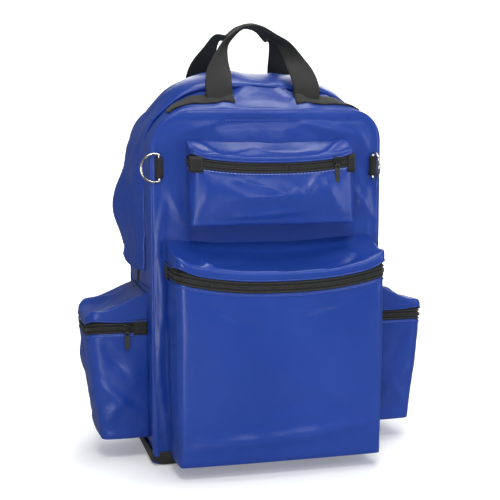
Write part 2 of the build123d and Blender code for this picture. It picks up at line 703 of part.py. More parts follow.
with BuildPart() as sternum_webbing_right:
    with BuildSketch(Plane.XZ.offset(-STERNUM_Y)):
        with BuildLine():
            Polyline(
                (STRAP_X, STERNUM_Z + STERNUM_W / 2),
                (24, STERNUM_Z + STERNUM_W / 2),
                (STERNUM_X - 6, CATCH_TOP + 8),
                (STERNUM_X - 6, CATCH_TOP + GAP),
                (STERNUM_X + 6, CATCH_TOP + GAP),
                (26, STERNUM_Z - STERNUM_W / 2),
                (STRAP_X, STERNUM_Z - STERNUM_W / 2),
                close=True,
            )
        make_face()
    extrude(amount=-WEB_T)
sternum_webbing_right.part.label = "sternum_webbing_right"
export_step(sternum_webbing_right.part, "parts/sternum_webbing_right.step")

with BuildPart() as sternum_webbing_left:
    with BuildSketch(Plane.XZ.offset(-STERNUM_Y)):
        with BuildLine():
            Polyline(
                (-STRAP_X, STERNUM_Z + STERNUM_W / 2),
                (-28, STERNUM_Z + STERNUM_W / 2),
                (-22, CATCH_LOW - 4),
                (STERNUM_X + 5, CATCH_LOW - GAP),
                (STERNUM_X - 5, CATCH_LOW - 12),
                (-28, CATCH_LOW - 10),
                (-34, STERNUM_Z - STERNUM_W / 2),
                (-STRAP_X, STERNUM_Z - STERNUM_W / 2),
                close=True,
            )
        make_face()
    extrude(amount=-WEB_T)
sternum_webbing_left.part.label = "sternum_webbing_left"
export_step(sternum_webbing_left.part, "parts/sternum_webbing_left.step")

CATCH_T = 7          # across the bag
CATCH_W = 24         # away from the back
catch_y = STERNUM_Y + CATCH_W / 2
with BuildPart() as sternum_female:
    with Locations((STERNUM_X, catch_y, (CATCH_TOP + CATCH_MID) / 2 + GAP / 2)):
        Box(CATCH_T, CATCH_W, CATCH_TOP - CATCH_MID - GAP)
    fillet(sternum_female.edges().filter_by(Axis.Z), 2)
    with Locations((STERNUM_X, catch_y, CATCH_MID + 9)):
        Box(CATCH_T - 3, CATCH_W - 8, 20, mode=Mode.SUBTRACT)
sternum_female.part.label = "sternum_female"
export_step(sternum_female.part, "parts/sternum_female.step")

with BuildPart() as sternum_male:
    with Locations((STERNUM_X, catch_y, (CATCH_LOW + CATCH_MID) / 2)):
        Box(CATCH_T, CATCH_W, CATCH_MID - CATCH_LOW)
    fillet(sternum_male.edges().filter_by(Axis.Z), 2)
    with Locations((STERNUM_X, catch_y, CATCH_LOW + 8)):
        Box(CATCH_T + 2, CATCH_W - 8, 4, mode=Mode.SUBTRACT)
    with Locations((STERNUM_X, catch_y - 5.4, CATCH_MID + 6), (STERNUM_X, catch_y + 5.4, CATCH_MID + 6)):
        Box(CATCH_T - 3 - 2 * FIT, 3.2, 16)
sternum_male.part.label = "sternum_male"
export_step(sternum_male.part, "parts/sternum_male.step")
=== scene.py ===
import math
import random

import bmesh
import bpy
import numpy as np
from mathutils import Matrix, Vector, noise


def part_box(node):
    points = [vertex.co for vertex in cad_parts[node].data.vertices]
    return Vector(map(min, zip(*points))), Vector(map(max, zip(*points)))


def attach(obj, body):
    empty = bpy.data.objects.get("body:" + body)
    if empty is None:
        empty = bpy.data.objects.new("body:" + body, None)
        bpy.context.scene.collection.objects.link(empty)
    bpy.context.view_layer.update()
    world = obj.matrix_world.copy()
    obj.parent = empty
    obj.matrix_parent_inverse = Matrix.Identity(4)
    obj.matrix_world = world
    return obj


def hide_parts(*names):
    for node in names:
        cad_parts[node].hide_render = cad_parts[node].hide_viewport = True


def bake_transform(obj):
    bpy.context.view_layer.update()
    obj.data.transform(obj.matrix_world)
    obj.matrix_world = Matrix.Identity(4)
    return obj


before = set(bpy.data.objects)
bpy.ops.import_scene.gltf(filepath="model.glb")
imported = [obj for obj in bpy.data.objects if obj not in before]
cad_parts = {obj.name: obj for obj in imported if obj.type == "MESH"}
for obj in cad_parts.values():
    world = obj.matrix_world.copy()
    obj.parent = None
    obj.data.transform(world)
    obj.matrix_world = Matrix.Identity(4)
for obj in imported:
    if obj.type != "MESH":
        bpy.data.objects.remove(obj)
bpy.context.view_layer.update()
random.seed(7)

# ---- sizes, in millimetres
# The bag's sizes and places are in millimetres, and MM turns them into metres for Blender.
MM = 0.001


def corners(node):
    """Lowest and highest corner of a CAD node, in millimetres."""
    low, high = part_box(node)
    return [v / MM for v in low], [v / MM for v in high]


_, back_high = corners("back_panel")
front_low, front_high = corners("front_panel")
_, cover_high = corners("cover_panel")
_, zip_high = corners("main_zip_body_half")
pocket_low, pocket_high = corners("lower_pocket")
upper_low, upper_high = corners("upper_pocket")
_, lower_zip_high = corners("lower_pocket_zip")
_, upper_zip_high = corners("upper_pocket_zip")
_, lower_lid_high = corners("lower_pocket_lid")
_, upper_lid_high = corners("upper_pocket_lid")
side_low, side_high = corners("side_pocket_right")
_, side_zip_high = corners("side_pocket_zips")
_, side_lid_high = corners("side_pocket_lid_right")
flap_low, flap_high = corners("storm_flap")
_, boot_high = corners("base_boot")
strap_low, strap_high = corners("shoulder_strap_right")
gusset_low, _ = corners("rear_gusset")
_, handle_high = corners("handle_front")
ring_low, ring_high = corners("d_ring_tabs")

HALF_W = back_high[0]
FRONT_Y = front_low[1]
BACK_Y = back_high[1]
HALF_D = BACK_Y
SEAM_Z = gusset_low[2]
FRONT_CROWN = cover_high[2] - 1     # the cloth's outline lies a little inside the top of the CAD's solids
BACK_CROWN = back_high[2] - 1
PEAK = zip_high[2] - 2.2
RIDGE_X = -14                       # the roof is highest a little to the left of the middle
ZIP_HALF = gusset_low[1]
BOOT_TOP = boot_high[2]
PANEL_LOW = BOOT_TOP - 6            # the panels' cloth starts a little inside the boot
COVER_SLOPE = -0.6                  # on the cover's sides that stretch leans forward as it rises
RING_X = ring_high[0] - 14          # the middle of the place where a ring lies, flat so that it can swing
RING_Z = (ring_low[2] + ring_high[2]) / 2
OUTLINE_STEPS = 160
RIM_STEPS = 220
TUBE_SIDES = 8
THREAD_SIDES = 5
TOOTH_PITCH = 2.3
TOOTH_SIZE = (1.35, 2.3, 1.3)       # along its zip, across it and outward
MAIN_TOOTH_SIZE = (1.5, 2.3, 1.4)
CLOTH = 1.8                         # thickness of the pockets' cloth
WEB = 1.6                           # thickness of the straps' webbing
PIPING = 2.3                        # radius of the piping
SEAM = 1.3                          # radius of a seam's roll of cloth
X_AXIS, Y_AXIS, Z_AXIS = Vector((1, 0, 0)), Vector((0, 1, 0)), Vector((0, 0, 1))


def ramp(a, b, t):
    """0 before a and 1 after b, with a smooth step between them."""
    t = min(max((t - a) / (b - a), 0), 1)
    return t * t * (3 - 2 * t)


def mix(a, b, t):
    """From a at 0 to b at 1."""
    return a + (b - a) * t


def bell(t, centre, width):
    """1 at the centre, falling away on both sides."""
    return math.exp(-(((t - centre) / width) ** 2))


def crumple(p, size, seed=0):
    """Soft noise, about -0.5 to 0.5, at a point in millimetres."""
    return noise.noise(Vector(p) / size + Vector((seed * 3.7, seed * 1.3, seed * 5.1)))


def folds_at(p, folds):
    """Height of the creases at a point. Each is (start, end, half width, height), in millimetres."""
    p = Vector(p)
    total = 0
    for start, end, width, height in folds:
        a, b = Vector(start), Vector(end)
        along = min(max((p - a).dot(b - a) / (b - a).length_squared, 0), 1)
        distance = (p - (a + (b - a) * along)).length
        if distance < width:
            fade = math.sin(math.pi * (0.1 + 0.8 * along))
            total += height * (1 - distance / width) ** 2 * fade
    return total


# ---- mesh making
def build(name, verts, faces, material, cloth):
    """A smooth mesh object, in metres, with its cloth attribute holding metres across and along."""
    mesh = bpy.data.meshes.new(name)
    mesh.from_pydata([tuple(v) for v in verts], [], faces)
    mesh.validate()
    layer = mesh.attributes.new("cloth", "FLOAT_VECTOR", "POINT")
    layer.data.foreach_set("vector", np.array(cloth, np.float32).reshape(-1))
    work = bmesh.new()
    work.from_mesh(mesh)
    bmesh.ops.recalc_face_normals(work, faces=work.faces)
    work.to_mesh(mesh)
    work.free()
    for polygon in mesh.polygons:
        polygon.use_smooth = True
    mesh.materials.append(material)
    piece = bpy.data.objects.new(name, mesh)
    bpy.context.scene.collection.objects.link(piece)
    return piece


def grid_normals(grid, closed):
    """The unit normal at each point of a grid of vectors."""
    p = np.array([[tuple(v) for v in row] for row in grid])
    if closed:
        across = np.roll(p, -1, 1) - np.roll(p, 1, 1)
    else:
        across = np.gradient(p, axis=1)
    along = np.gradient(p, axis=0)
    normal = np.cross(across, along)
    size = np.linalg.norm(normal, axis=2, keepdims=True)
    return p, normal / np.maximum(size, 1e-12)


def facing(grid, thick, outward):
    """The thickness with the sign that puts a sheet's second face on the inner side of its grid."""
    _, normal = grid_normals(grid, False)
    middle = normal[len(grid) // 2, len(grid[0]) // 2]
    return thick if Vector(middle).dot(outward) > 0 else -thick


def ring_faces(rings, sides):
    """The faces of a closed form through rings of points, with a cap at each end."""
    faces = []
    for i in range(rings - 1):
        for k in range(sides):
            a, b = i * sides + k, i * sides + (k + 1) % sides
            faces.append((a, b, b + sides, a + sides))
    faces.append(tuple(range(sides)))
    faces.append(tuple(range((rings - 1) * sides, rings * sides)))
    return faces


def steps_along(line):
    """At each point of a line, the step from the point before it to the point after it."""
    last = len(line) - 1
    return [Vector(line[min(k + 1, last)]) - Vector(line[max(k - 1, 0)]) for k in range(len(line))]


def raised(line, height):
    """The line, moved straight up."""
    return [v + Z_AXIS * height for v in line]


def sheet_of(name, grid, thick, material, closed=False):
    """A sheet through a grid of points (mm), thickened away from its normals, closed at its edges."""
    p, normal = grid_normals(grid, closed)
    rows, columns = p.shape[:2]
    outer = p.reshape(-1, 3)
    inner = (p - normal * thick).reshape(-1, 3)
    verts = np.concatenate([outer, inner]) * MM
    steps = np.linalg.norm(np.diff(p, axis=1), axis=2)
    u = np.concatenate([np.zeros((rows, 1)), np.cumsum(steps, axis=1)], axis=1)
    u = u - u[:, columns // 2: columns // 2 + 1]
    steps = np.linalg.norm(np.diff(p, axis=0), axis=2)
    v = np.concatenate([np.zeros((1, columns)), np.cumsum(steps, axis=0)], axis=0)
    flat = np.stack([u, v, np.zeros_like(u)], axis=2).reshape(-1, 3) * MM
    cloth = np.concatenate([flat, flat])
    shift = rows * columns
    faces = []
    spans = columns if closed else columns - 1
    for i in range(rows - 1):
        for j in range(spans):
            a, b = i * columns + j, i * columns + (j + 1) % columns
            c, d = b + columns, a + columns
            faces.append((a, b, c, d))
            faces.append((shift + d, shift + c, shift + b, shift + a))
    for i in (0, rows - 1):
        for j in range(spans):
            a, b = i * columns + j, i * columns + (j + 1) % columns
            faces.append((a, b, shift + b, shift + a))
    if not closed:
        for i in range(rows - 1):
            for j in (0, columns - 1):
                a, b = i * columns + j, (i + 1) * columns + j
                faces.append((a, b, shift + b, shift + a))
    return build(name, verts, faces, material, cloth)


def spline(points, count):
    """count + 1 evenly spaced rows on a smooth curve through rows of numbers; a row starts with x, y, z."""
    p = np.array([tuple(row) for row in points], float)
    ends = np.vstack([2 * p[0] - p[1], p, 2 * p[-1] - p[-2]])
    dense = []
    for i in range(len(p) - 1):
        a, b, c, d = ends[i:i + 4]
        for t in np.linspace(0, 1, 24, endpoint=False):
            dense.append(0.5 * (2 * b + (c - a) * t + (2 * a - 5 * b + 4 * c - d) * t ** 2
                                + (3 * b - a - 3 * c + d) * t ** 3))
    dense.append(p[-1])
    return resample(dense, count)


def resample(rows, count):
    """count + 1 rows evenly spaced along a line of rows."""
    rows = np.array(rows, float)
    steps = np.linalg.norm(np.diff(rows[:, :3], axis=0), axis=1)
    reach = np.concatenate([[0], np.cumsum(steps)])
    targets = np.linspace(0, reach[-1], count + 1)
    return np.stack([np.interp(targets, reach, rows[:, k]) for k in range(rows.shape[1])], axis=1)


def length_of(rows):
    """Length of a line of rows, each of which starts with x, y, z."""
    rows = np.array([tuple(r)[:3] for r in rows], float)
    return float(np.linalg.norm(np.diff(rows, axis=0), axis=1).sum())


def ribbon(name, route, thick, material, cup=None, across=7, pitch=4.0):
    """Flat webbing. A row of the route is x, y, z and the width vector; cup bows the section."""
    count = max(4, int(length_of(route) / pitch))
    rows = spline(route, count)
    grid = []
    for i, row in enumerate(rows):
        centre, width = Vector(row[:3]), Vector(row[3:6])
        ahead = Vector(rows[min(i + 1, count)][:3]) - Vector(rows[max(i - 1, 0)][:3])
        normal = ahead.cross(width).normalized()
        bow = cup(i / count) if cup else 0
        line = []
        for k in range(across):
            q = 2 * k / (across - 1) - 1
            line.append(centre + width * (q / 2) + normal * bow * (1 - q * q))
        grid.append(line)
    return sheet_of(name, grid, thick, material)


def tube_parts(points, radius, sides):
    """Vertices and faces of a round tube along points, in metres."""
    p = np.array([tuple(v)[:3] for v in points], float) * MM
    verts = []
    side = None
    for i in range(len(p)):
        ahead = Vector(p[min(i + 1, len(p) - 1)] - p[max(i - 1, 0)]).normalized()
        if side is None:
            side = ahead.orthogonal().normalized()
        side = (side - ahead * side.dot(ahead)).normalized()
        up = ahead.cross(side)
        for k in range(sides):
            turn = 2 * math.pi * k / sides
            verts.append(Vector(p[i]) + (side * math.cos(turn) + up * math.sin(turn)) * radius * MM)
    return verts, ring_faces(len(p), sides)


def gather(name, parts, material):
    """One object from several lists of vertices and faces."""
    verts, faces = [], []
    for some, polygons in parts:
        shift = len(verts)
        verts.extend(some)
        faces.extend(tuple(i + shift for i in polygon) for polygon in polygons)
    cloth = [(v[0] + v[1], v[2] + v[1], 0) for v in verts]
    return build(name, verts, faces, material, cloth)


def tube(name, points, radius, material):
    return gather(name, [tube_parts(points, radius, TUBE_SIDES)], material)


def box_parts(centre, along, up, out, size):
    """A small box with softened ends: size is along, up and out, in millimetres."""
    a, u, o = along * size[0] / 2, up * size[1] / 2, out * size[2]
    verts = []
    for k, share in ((0, 1), (0.65, 1), (1, 0.6)):
        for sa, su in ((-1, -1), (1, -1), (1, 1), (-1, 1)):
            verts.append((centre + a * sa * share + u * su * share + o * k) * MM)
    faces = [(0, 1, 2, 3), (8, 9, 10, 11)]
    for ring in (0, 4):
        for k in range(4):
            b = (k + 1) % 4
            faces.append((ring + k, ring + b, ring + b + 4, ring + k + 4))
    return verts, faces


def stitches(name, lines, material, length=3.4, gap=1.8, radius=0.42):
    """Thread dashes along lines of points that lie on the cloth."""
    parts = []
    for line in lines:
        total = length_of(line)
        count = max(1, int(total / (length + gap)))
        rows = resample([tuple(v)[:3] for v in line], count * 4)
        for k in range(count):
            parts.append(tube_parts(rows[4 * k: 4 * k + 4], radius, THREAD_SIDES))
    return gather(name, parts, material)


def teeth(name, line, outs, material):
    """A closed zip: two rows of small teeth along a level line, with its outward directions."""
    count = int(length_of(line) / TOOTH_PITCH)
    rows = resample([tuple(p) + tuple(o) for p, o in zip(line, outs)], count)
    parts = []
    for k in range(count):
        here, there = Vector(rows[k][:3]), Vector(rows[k + 1][:3])
        along = (there - here).normalized()
        out = Vector(rows[k][3:6]).normalized()
        for sign in (-1, 1):
            centre = here + along * (TOOTH_PITCH * 0.25 * (1 + sign)) + Z_AXIS * sign * 1.35
            parts.append(box_parts(centre, along, Z_AXIS, out, TOOTH_SIZE))
    return gather(name, parts, material)


# ---- materials
def shader_of(name):
    """A new material, its node tree and the inputs of its surface."""
    material = bpy.data.materials.new(name)
    material.use_nodes = True
    tree = material.node_tree
    return material, tree, tree.nodes["Principled BSDF"].inputs


def node(tree, kind, **values):
    """A new node, with its settings and its inputs' values by name."""
    made = tree.nodes.new(kind)
    for key, value in values.items():
        if hasattr(made, key):
            setattr(made, key, value)
        else:
            made.inputs[key.replace("_", " ")].default_value = value
    return made


def noise_node(tree, coordinates, scale, detail):
    made = node(tree, "ShaderNodeTexNoise", Scale=scale, Detail=detail)
    tree.links.new(coordinates, made.inputs["Vector"])
    return made.outputs["Fac"]


def range_node(tree, source, low, high, new_low, new_high):
    made = node(tree, "ShaderNodeMapRange", From_Min=low, From_Max=high, To_Min=new_low, To_Max=new_high)
    tree.links.new(source, made.inputs["Value"])
    return made.outputs["Result"]


def maths(tree, operation, a, b):
    made = node(tree, "ShaderNodeMath", operation=operation)
    for i, value in enumerate((a, b)):
        if isinstance(value, (int, float)):
            made.inputs[i].default_value = value
        else:
            tree.links.new(value, made.inputs[i])
    return made.outputs[0]


def colour_ramp(tree, source, stops):
    made = tree.nodes.new("ShaderNodeValToRGB")
    tree.links.new(source, made.inputs["Fac"])
    elements = made.color_ramp.elements
    while len(elements) < len(stops):
        elements.new(0.5)
    for element, (place, colour) in zip(elements, stops):
        element.position = place
        element.color = (*colour, 1)
    return made.outputs["Color"]


def bump_node(tree, height, strength, distance, under=None):
    made = node(tree, "ShaderNodeBump", Strength=strength, Distance=distance)
    tree.links.new(height, made.inputs["Height"])
    if under is not None:
        tree.links.new(under, made.inputs["Normal"])
    return made.outputs["Normal"]


def bands(tree, coordinates, direction, period):
    """A wave across one axis of the cloth coordinates, with its period in metres."""
    made = node(tree, "ShaderNodeTexWave", wave_type="BANDS", bands_direction=direction,
                Scale=2 * math.pi / (20 * period), Distortion=0.0)
    tree.links.new(coordinates, made.inputs["Vector"])
    return made.outputs["Fac"]


def object_place(tree):
    """The place on the object, in metres."""
    return tree.nodes.new("ShaderNodeTexCoord").outputs["Object"]


def cloth_place(tree):
    """The place on the flat cloth, across and along, in metres."""
    return node(tree, "ShaderNodeAttribute", attribute_name="cloth").outputs["Vector"]


def edge_wear(tree, low, high, most):
    """0 on flat places, and up to the most on sharp edges."""
    edge = tree.nodes.new("ShaderNodeNewGeometry").outputs["Pointiness"]
    return range_node(tree, edge, low, high, 0.0, most)


def colour_blend(tree, share, colour, other):
    """A colour that is worn away to another one."""
    made = node(tree, "ShaderNodeMix", data_type="RGBA")
    tree.links.new(share, made.inputs[0])
    tree.links.new(colour, made.inputs[6])
    made.inputs[7].default_value = (*other, 1)
    return made.outputs[2]


def tinted(colour, factor, lift=0.0):
    """A colour made darker or paler."""
    return tuple(min(1, c * factor + lift) for c in colour)


def coated_fabric(name, colour):
    """Coated fabric: a smooth glossy skin over a faint scrim, cloudier and paler on its creases."""
    material, tree, surface = shader_of(name)
    place = object_place(tree)
    cloth = cloth_place(tree)
    cloud = noise_node(tree, place, 7, 3)
    tone = colour_ramp(tree, cloud, [(0.3, tinted(colour, 0.90)), (0.72, tinted(colour, 1.08))])
    worn = colour_blend(tree, edge_wear(tree, 0.53, 0.62, 0.35), tone, tinted(colour, 1.5, 0.03))
    tree.links.new(worn, surface["Base Color"])
    tree.links.new(range_node(tree, cloud, 0.3, 0.7, 0.27, 0.36), surface["Roughness"])
    scrim = maths(tree, "ADD", bands(tree, cloth, "X", 0.0011), bands(tree, cloth, "Y", 0.0011))
    relief = bump_node(tree, noise_node(tree, place, 38, 4), 0.45, 0.0022)
    relief = bump_node(tree, noise_node(tree, place, 420, 2), 0.18, 0.0003, relief)
    relief = bump_node(tree, scrim, 0.10, 0.0002, relief)
    tree.links.new(relief, surface["Normal"])
    surface["Specular IOR Level"].default_value = 0.32
    return material


def woven(name, colour, rib=0.0017, cross=0.0011, depth=0.0005, rough=0.72):
    """Woven webbing or tape: ribs along it, crossed by the weft, with a dry sheen."""
    material, tree, surface = shader_of(name)
    place = object_place(tree)
    cloth = cloth_place(tree)
    weft = maths(tree, "ADD", bands(tree, cloth, "Y", cross), 0.55)
    weave = maths(tree, "MULTIPLY", bands(tree, cloth, "X", rib), weft)
    cloud = noise_node(tree, place, 30, 4)
    lint = noise_node(tree, place, 900, 2)
    height = maths(tree, "ADD", weave, maths(tree, "MULTIPLY", lint, 0.5))
    shade = maths(tree, "ADD", maths(tree, "MULTIPLY", weave, 0.45), maths(tree, "MULTIPLY", cloud, 0.55))
    tone = colour_ramp(tree, shade, [(0.2, tinted(colour, 0.55)), (0.8, tinted(colour, 1.55, 0.004))])
    tree.links.new(tone, surface["Base Color"])
    tree.links.new(bump_node(tree, height, 0.55, depth), surface["Normal"])
    tree.links.new(range_node(tree, cloud, 0.3, 0.7, rough - 0.08, rough + 0.1), surface["Roughness"])
    surface["Sheen Weight"].default_value = 0.08
    surface["Sheen Roughness"].default_value = 0.45
    surface["Sheen Tint"].default_value = (0.75, 0.77, 0.75, 1)
    return material


def moulded(name, colour, rough):
    """Moulded plastic or enamel: fine grain, rubbed paler on its edges."""
    material, tree, surface = shader_of(name)
    place = object_place(tree)
    cloud = noise_node(tree, place, 160, 4)
    tone = colour_ramp(tree, cloud, [(0.3, tinted(colour, 0.7)), (0.7, tinted(colour, 1.3))])
    rubbed = colour_blend(tree, edge_wear(tree, 0.52, 0.60, 0.6), tone, tinted(colour, 2.2, 0.03))
    tree.links.new(rubbed, surface["Base Color"])
    tree.links.new(range_node(tree, cloud, 0.3, 0.7, rough - 0.08, rough + 0.1), surface["Roughness"])
    tree.links.new(bump_node(tree, noise_node(tree, place, 1900, 2), 0.25, 0.0002), surface["Normal"])
    return material


def plated(name):
    """Nickel-plated wire, a little brushed and clouded."""
    material, tree, surface = shader_of(name)
    place = object_place(tree)
    cloud = noise_node(tree, place, 220, 4)
    tone = colour_ramp(tree, cloud, [(0.3, (0.52, 0.50, 0.47)), (0.7, (0.82, 0.80, 0.76))])
    tree.links.new(tone, surface["Base Color"])
    tree.links.new(range_node(tree, cloud, 0.3, 0.7, 0.14, 0.30), surface["Roughness"])
    tree.links.new(bump_node(tree, noise_node(tree, place, 1500, 2), 0.12, 0.0001), surface["Normal"])
    surface["Metallic"].default_value = 1.0
    return material


BLUE = (0.010, 0.041, 0.255)
FABRIC = coated_fabric("blue_coated_fabric", BLUE)
WEBBING = woven("black_webbing", (0.0085, 0.009, 0.008))
# A paler, glossier copy of the zip tape for the band's fold lines: a painted highlight along the folds.
TAPE_FOLD_HIGHLIGHT = woven("zip_tape_fold_painted_highlight", (0.020, 0.021, 0.019), rib=0.0009, cross=0.0009, depth=0.0003, rough=0.6)
TAPE = woven("black_zip_tape", (0.007, 0.0075, 0.0065), rib=0.0009, cross=0.0009, depth=0.0003)
NYLON = woven("grey_nylon", (0.052, 0.054, 0.049), rib=0.0008, cross=0.0008, depth=0.0003, rough=0.8)
PALS = woven("grey_webbing", (0.066, 0.068, 0.062), rib=0.0016, cross=0.0010, rough=0.78)
BINDING = woven("dark_binding", (0.017, 0.017, 0.016), rib=0.0020, cross=0.0009, rough=0.78)
BOOT = woven("base_cloth", (0.012, 0.012, 0.011), rib=0.0010, cross=0.0010, depth=0.0004, rough=0.62)
COIL = moulded("zip_coil", (0.012, 0.012, 0.012), 0.34)
ENAMEL = moulded("black_enamel", (0.008, 0.008, 0.008), 0.34)
PLASTIC = moulded("moulded_buckle", (0.055, 0.056, 0.054), 0.40)
SHEETING = moulded("grey_sheeting", (0.16, 0.16, 0.16), 0.6)
FOAM = moulded("grey_foam", (0.12, 0.12, 0.12), 0.85)
NICKEL = plated("nickel_wire")
BLUE_THREAD = moulded("blue_thread", (0.030, 0.070, 0.33), 0.6)
PALE_THREAD = moulded("pale_thread", (0.16, 0.20, 0.38), 0.6)
DARK_THREAD = moulded("dark_thread", (0.020, 0.020, 0.020), 0.6)


def place(piece, body, *nodes):
    """The piece rides on a body and stands for CAD nodes, which are hidden."""
    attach(piece, body)
    if nodes:
        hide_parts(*nodes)
    return piece


def bend_front(piece, *nodes, slope=0.0):
    """The piece crosses the cover's fold: its transform is baked into its mesh, it rides on no body, and the
    CAD nodes it stands for are hidden.
    """
    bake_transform(piece)
    if nodes:
        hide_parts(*nodes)
    return piece


# ---- the bag's outline
TENT = 17            # the roof's fall at half the bag's width from its highest point, over the main zip
CORNER_STEPS = 16


def crown_at(y):
    """Height of the bag's roof at a depth: a dome that is highest over the main zip."""
    edge = FRONT_CROWN if y < 0 else BACK_CROWN
    return edge + (PEAK - edge) * (1 - min(1, abs(y) / HALF_D) ** 2)


def radius_at(y, right=False):
    """Radius of one of the bag's shoulders at a depth: the front's right corner is the tightest."""
    tight = (22 if right else 8) if y < 0 else 0
    return 106 - (44 + tight) * min(1, abs(y) / HALF_D) ** 2


def tent(x, y):
    """Fall of the roof away from its highest point."""
    return TENT * (abs(x - RIDGE_X) / HALF_W) ** 1.4 * (1 - min(1, abs(y) / HALF_D) ** 2)


def outline(y, low, count):
    """Points of the bag's cross section at a depth, from a height on the left over the top to the right."""
    crown = crown_at(y)
    points = []
    for right in (False, True):
        radius = radius_at(y, right)
        shoulder = crown - radius
        edge = [(-HALF_W, y, low), (-HALF_W, y, shoulder)]
        for k in range(1, CORNER_STEPS + 1):
            turn = math.pi / 2 * k / CORNER_STEPS
            edge.append((-HALF_W + radius * (1 - math.cos(turn)), y, shoulder + radius * math.sin(turn)))
        points += [(-a, b, c) for a, b, c in reversed(edge)] if right else edge
    even = resample(points, OUTLINE_STEPS)
    return resample([(x, y, z - tent(x, y) * ramp(shoulder - 20, crown, z)) for x, y, z in even], count)


def outline_normals(line):
    """The unit normals of a line over the top, in the plane of the cross section."""
    return [Vector((-step.z, 0, step.x)).normalized() for step in steps_along(line)]


def roof_relief(x, y, z):
    """How far the soft skin stands from the smooth outline, in millimetres."""
    roof = ramp(PEAK - 90, PEAK - 30, z)
    inner = 1 - (abs(y) / HALF_D) ** 2
    sag = -5.0 * roof * bell(abs(y), 62, 26) * bell(x, 0, 120)
    pull = 5.0 * roof * (bell(x, 0, 34) * bell(y, -50, 30))
    side = (1 - roof) * (2.5 * inner + 2.0 * crumple((x, y, z), 70, 3))
    lines = folds_at((x, y, z), ROOF_FOLDS) if roof > 0 else 0
    return sag + pull + side + lines + 1.6 * crumple((x, y, z), 46, 1) * (0.3 + 0.7 * inner)


ROOF_FOLDS = [
    ((-70, -96, 500), (-4, -40, 538), 15, 6.5),
    ((70, -96, 500), (14, -36, 538), 15, 6.0),
    ((-40, -92, 503), (42, -92, 503), 12, -4.0),
    ((20, -90, 506), (96, -60, 520), 10, 4.5),
    ((-130, -88, 480), (-84, -50, 525), 13, 4.5),
    ((130, -88, 480), (92, -50, 525), 13, 4.5),
    ((-60, 90, 515), (0, 50, 538), 14, 3.5),
    ((60, 92, 515), (6, 50, 538), 14, 3.0),
]


def skin_grid(y0, y1, across, along, lift=0):
    """A strip of the bag's skin between two depths, over the top, down to the side seams."""
    rows = []
    for i in range(across + 1):
        y = mix(y0, y1, i / across)
        line = outline(y, SEAM_Z, along)
        row = []
        for p, normal in zip(line, outline_normals(line)):
            grow = lift + roof_relief(*p) * ramp(0, 9, HALF_D - abs(y))
            row.append(Vector(p) + normal * grow)
        rows.append(row)
    return rows


def half_at(y, z, right):
    """Half width of a panel at a height, on one side."""
    radius = radius_at(y, right)
    over = max(0, z - (crown_at(y) - radius))
    return HALF_W - radius + math.sqrt(max(0, radius ** 2 - over ** 2))


def boot_fade(z):
    """0 behind the boot's rim, where the cloth lies flat, and 1 above it."""
    return ramp(BOOT_TOP - 4, BOOT_TOP + 26, z)


def ring_fade(x, z):
    """Nearly 1 behind the D-rings, where the cloth lies flat, and 0 away from them."""
    return 0.98 * bell(abs(x), RING_X, 40) ** 0.6 * bell(z, RING_Z, 40) ** 0.6


def panel_grid(y, columns, rows, bulge, seed, folds):
    """A flat panel with rounded shoulders: a soft pillow that meets the piping at its edges."""
    grid = []
    side = 1 if y > 0 else -1
    crown = crown_at(y)
    for i in range(rows + 1):
        z = mix(PANEL_LOW, crown, i / rows)
        left, right = half_at(y, z, False), half_at(y, z, True)
        line = []
        for k in range(columns + 1):
            x = mix(-left, right, k / columns)
            edge = min(x + left, right - x, crown - z, 60)
            pillow = bulge * ramp(0, 55, edge)
            soft = 2.2 * crumple((x, y, z), 62, seed) + 1.0 * crumple((x, y, z), 24, seed + 1)
            groove = -1.3 * bell(edge, 12, 1.8)
            flat = ring_fade(x, z) if y < 0 else 0
            relief = (pillow + ramp(0, 14, edge) * soft + groove + folds_at((x, 0, z), folds)) * (1 - flat)
            relief *= boot_fade(z)
            line.append(Vector((x, y + side * relief, z)))
        grid.append(line)
    return grid


def rim(y, low, inset=0.0, out=0.0):
    """The line of a panel's edge, or of a seam inside it."""
    line = outline(y, low, RIM_STEPS)
    return [Vector(p) - normal * inset + Y_AXIS * out for p, normal in zip(line, outline_normals(line))]


# ---- main body and cover
FRONT_FOLDS = [
    ((116, 0, 446), (150, 0, 372), 16, 5.5),
    ((118, 0, 400), (156, 0, 346), 13, 5.5),
    ((128, 0, 366), (152, 0, 412), 11, -4.0),
    ((132, 0, 470), (154, 0, 430), 12, 4.5),
    ((-157, 0, 330), (-150, 0, 200), 7, 4.5),
    ((-152, 0, 260), (-158, 0, 120), 7, 4.5),
    ((-158, 0, 160), (-150, 0, 50), 7, 4.5),
    ((-150, 0, 372), (-158, 0, 300), 9, 4.5),
    ((-130, 0, 466), (-66, 0, 484), 12, 3.5),
    ((-154, 0, 424), (-124, 0, 350), 14, 4.0),
    ((-140, 0, 390), (-122, 0, 440), 12, -3.0),
    ((40, 0, 484), (124, 0, 464), 12, 3.5),
    ((-100, 0, 478), (60, 0, 482), 10, -2.4),
    ((154, 0, 300), (158, 0, 200), 7, 4.0),
]
BACK_FOLDS = [
    ((150, 0, 330), (120, 0, 380), 16, 2.4),
    ((152, 0, 120), (122, 0, 170), 12, 2.6),
    ((20, 0, 190), (-26, 0, 120), 18, 2.4),
    ((150, 0, 90), (130, 0, 130), 10, 2.2),
    ((-150, 0, 140), (-124, 0, 210), 14, 2.2),
]


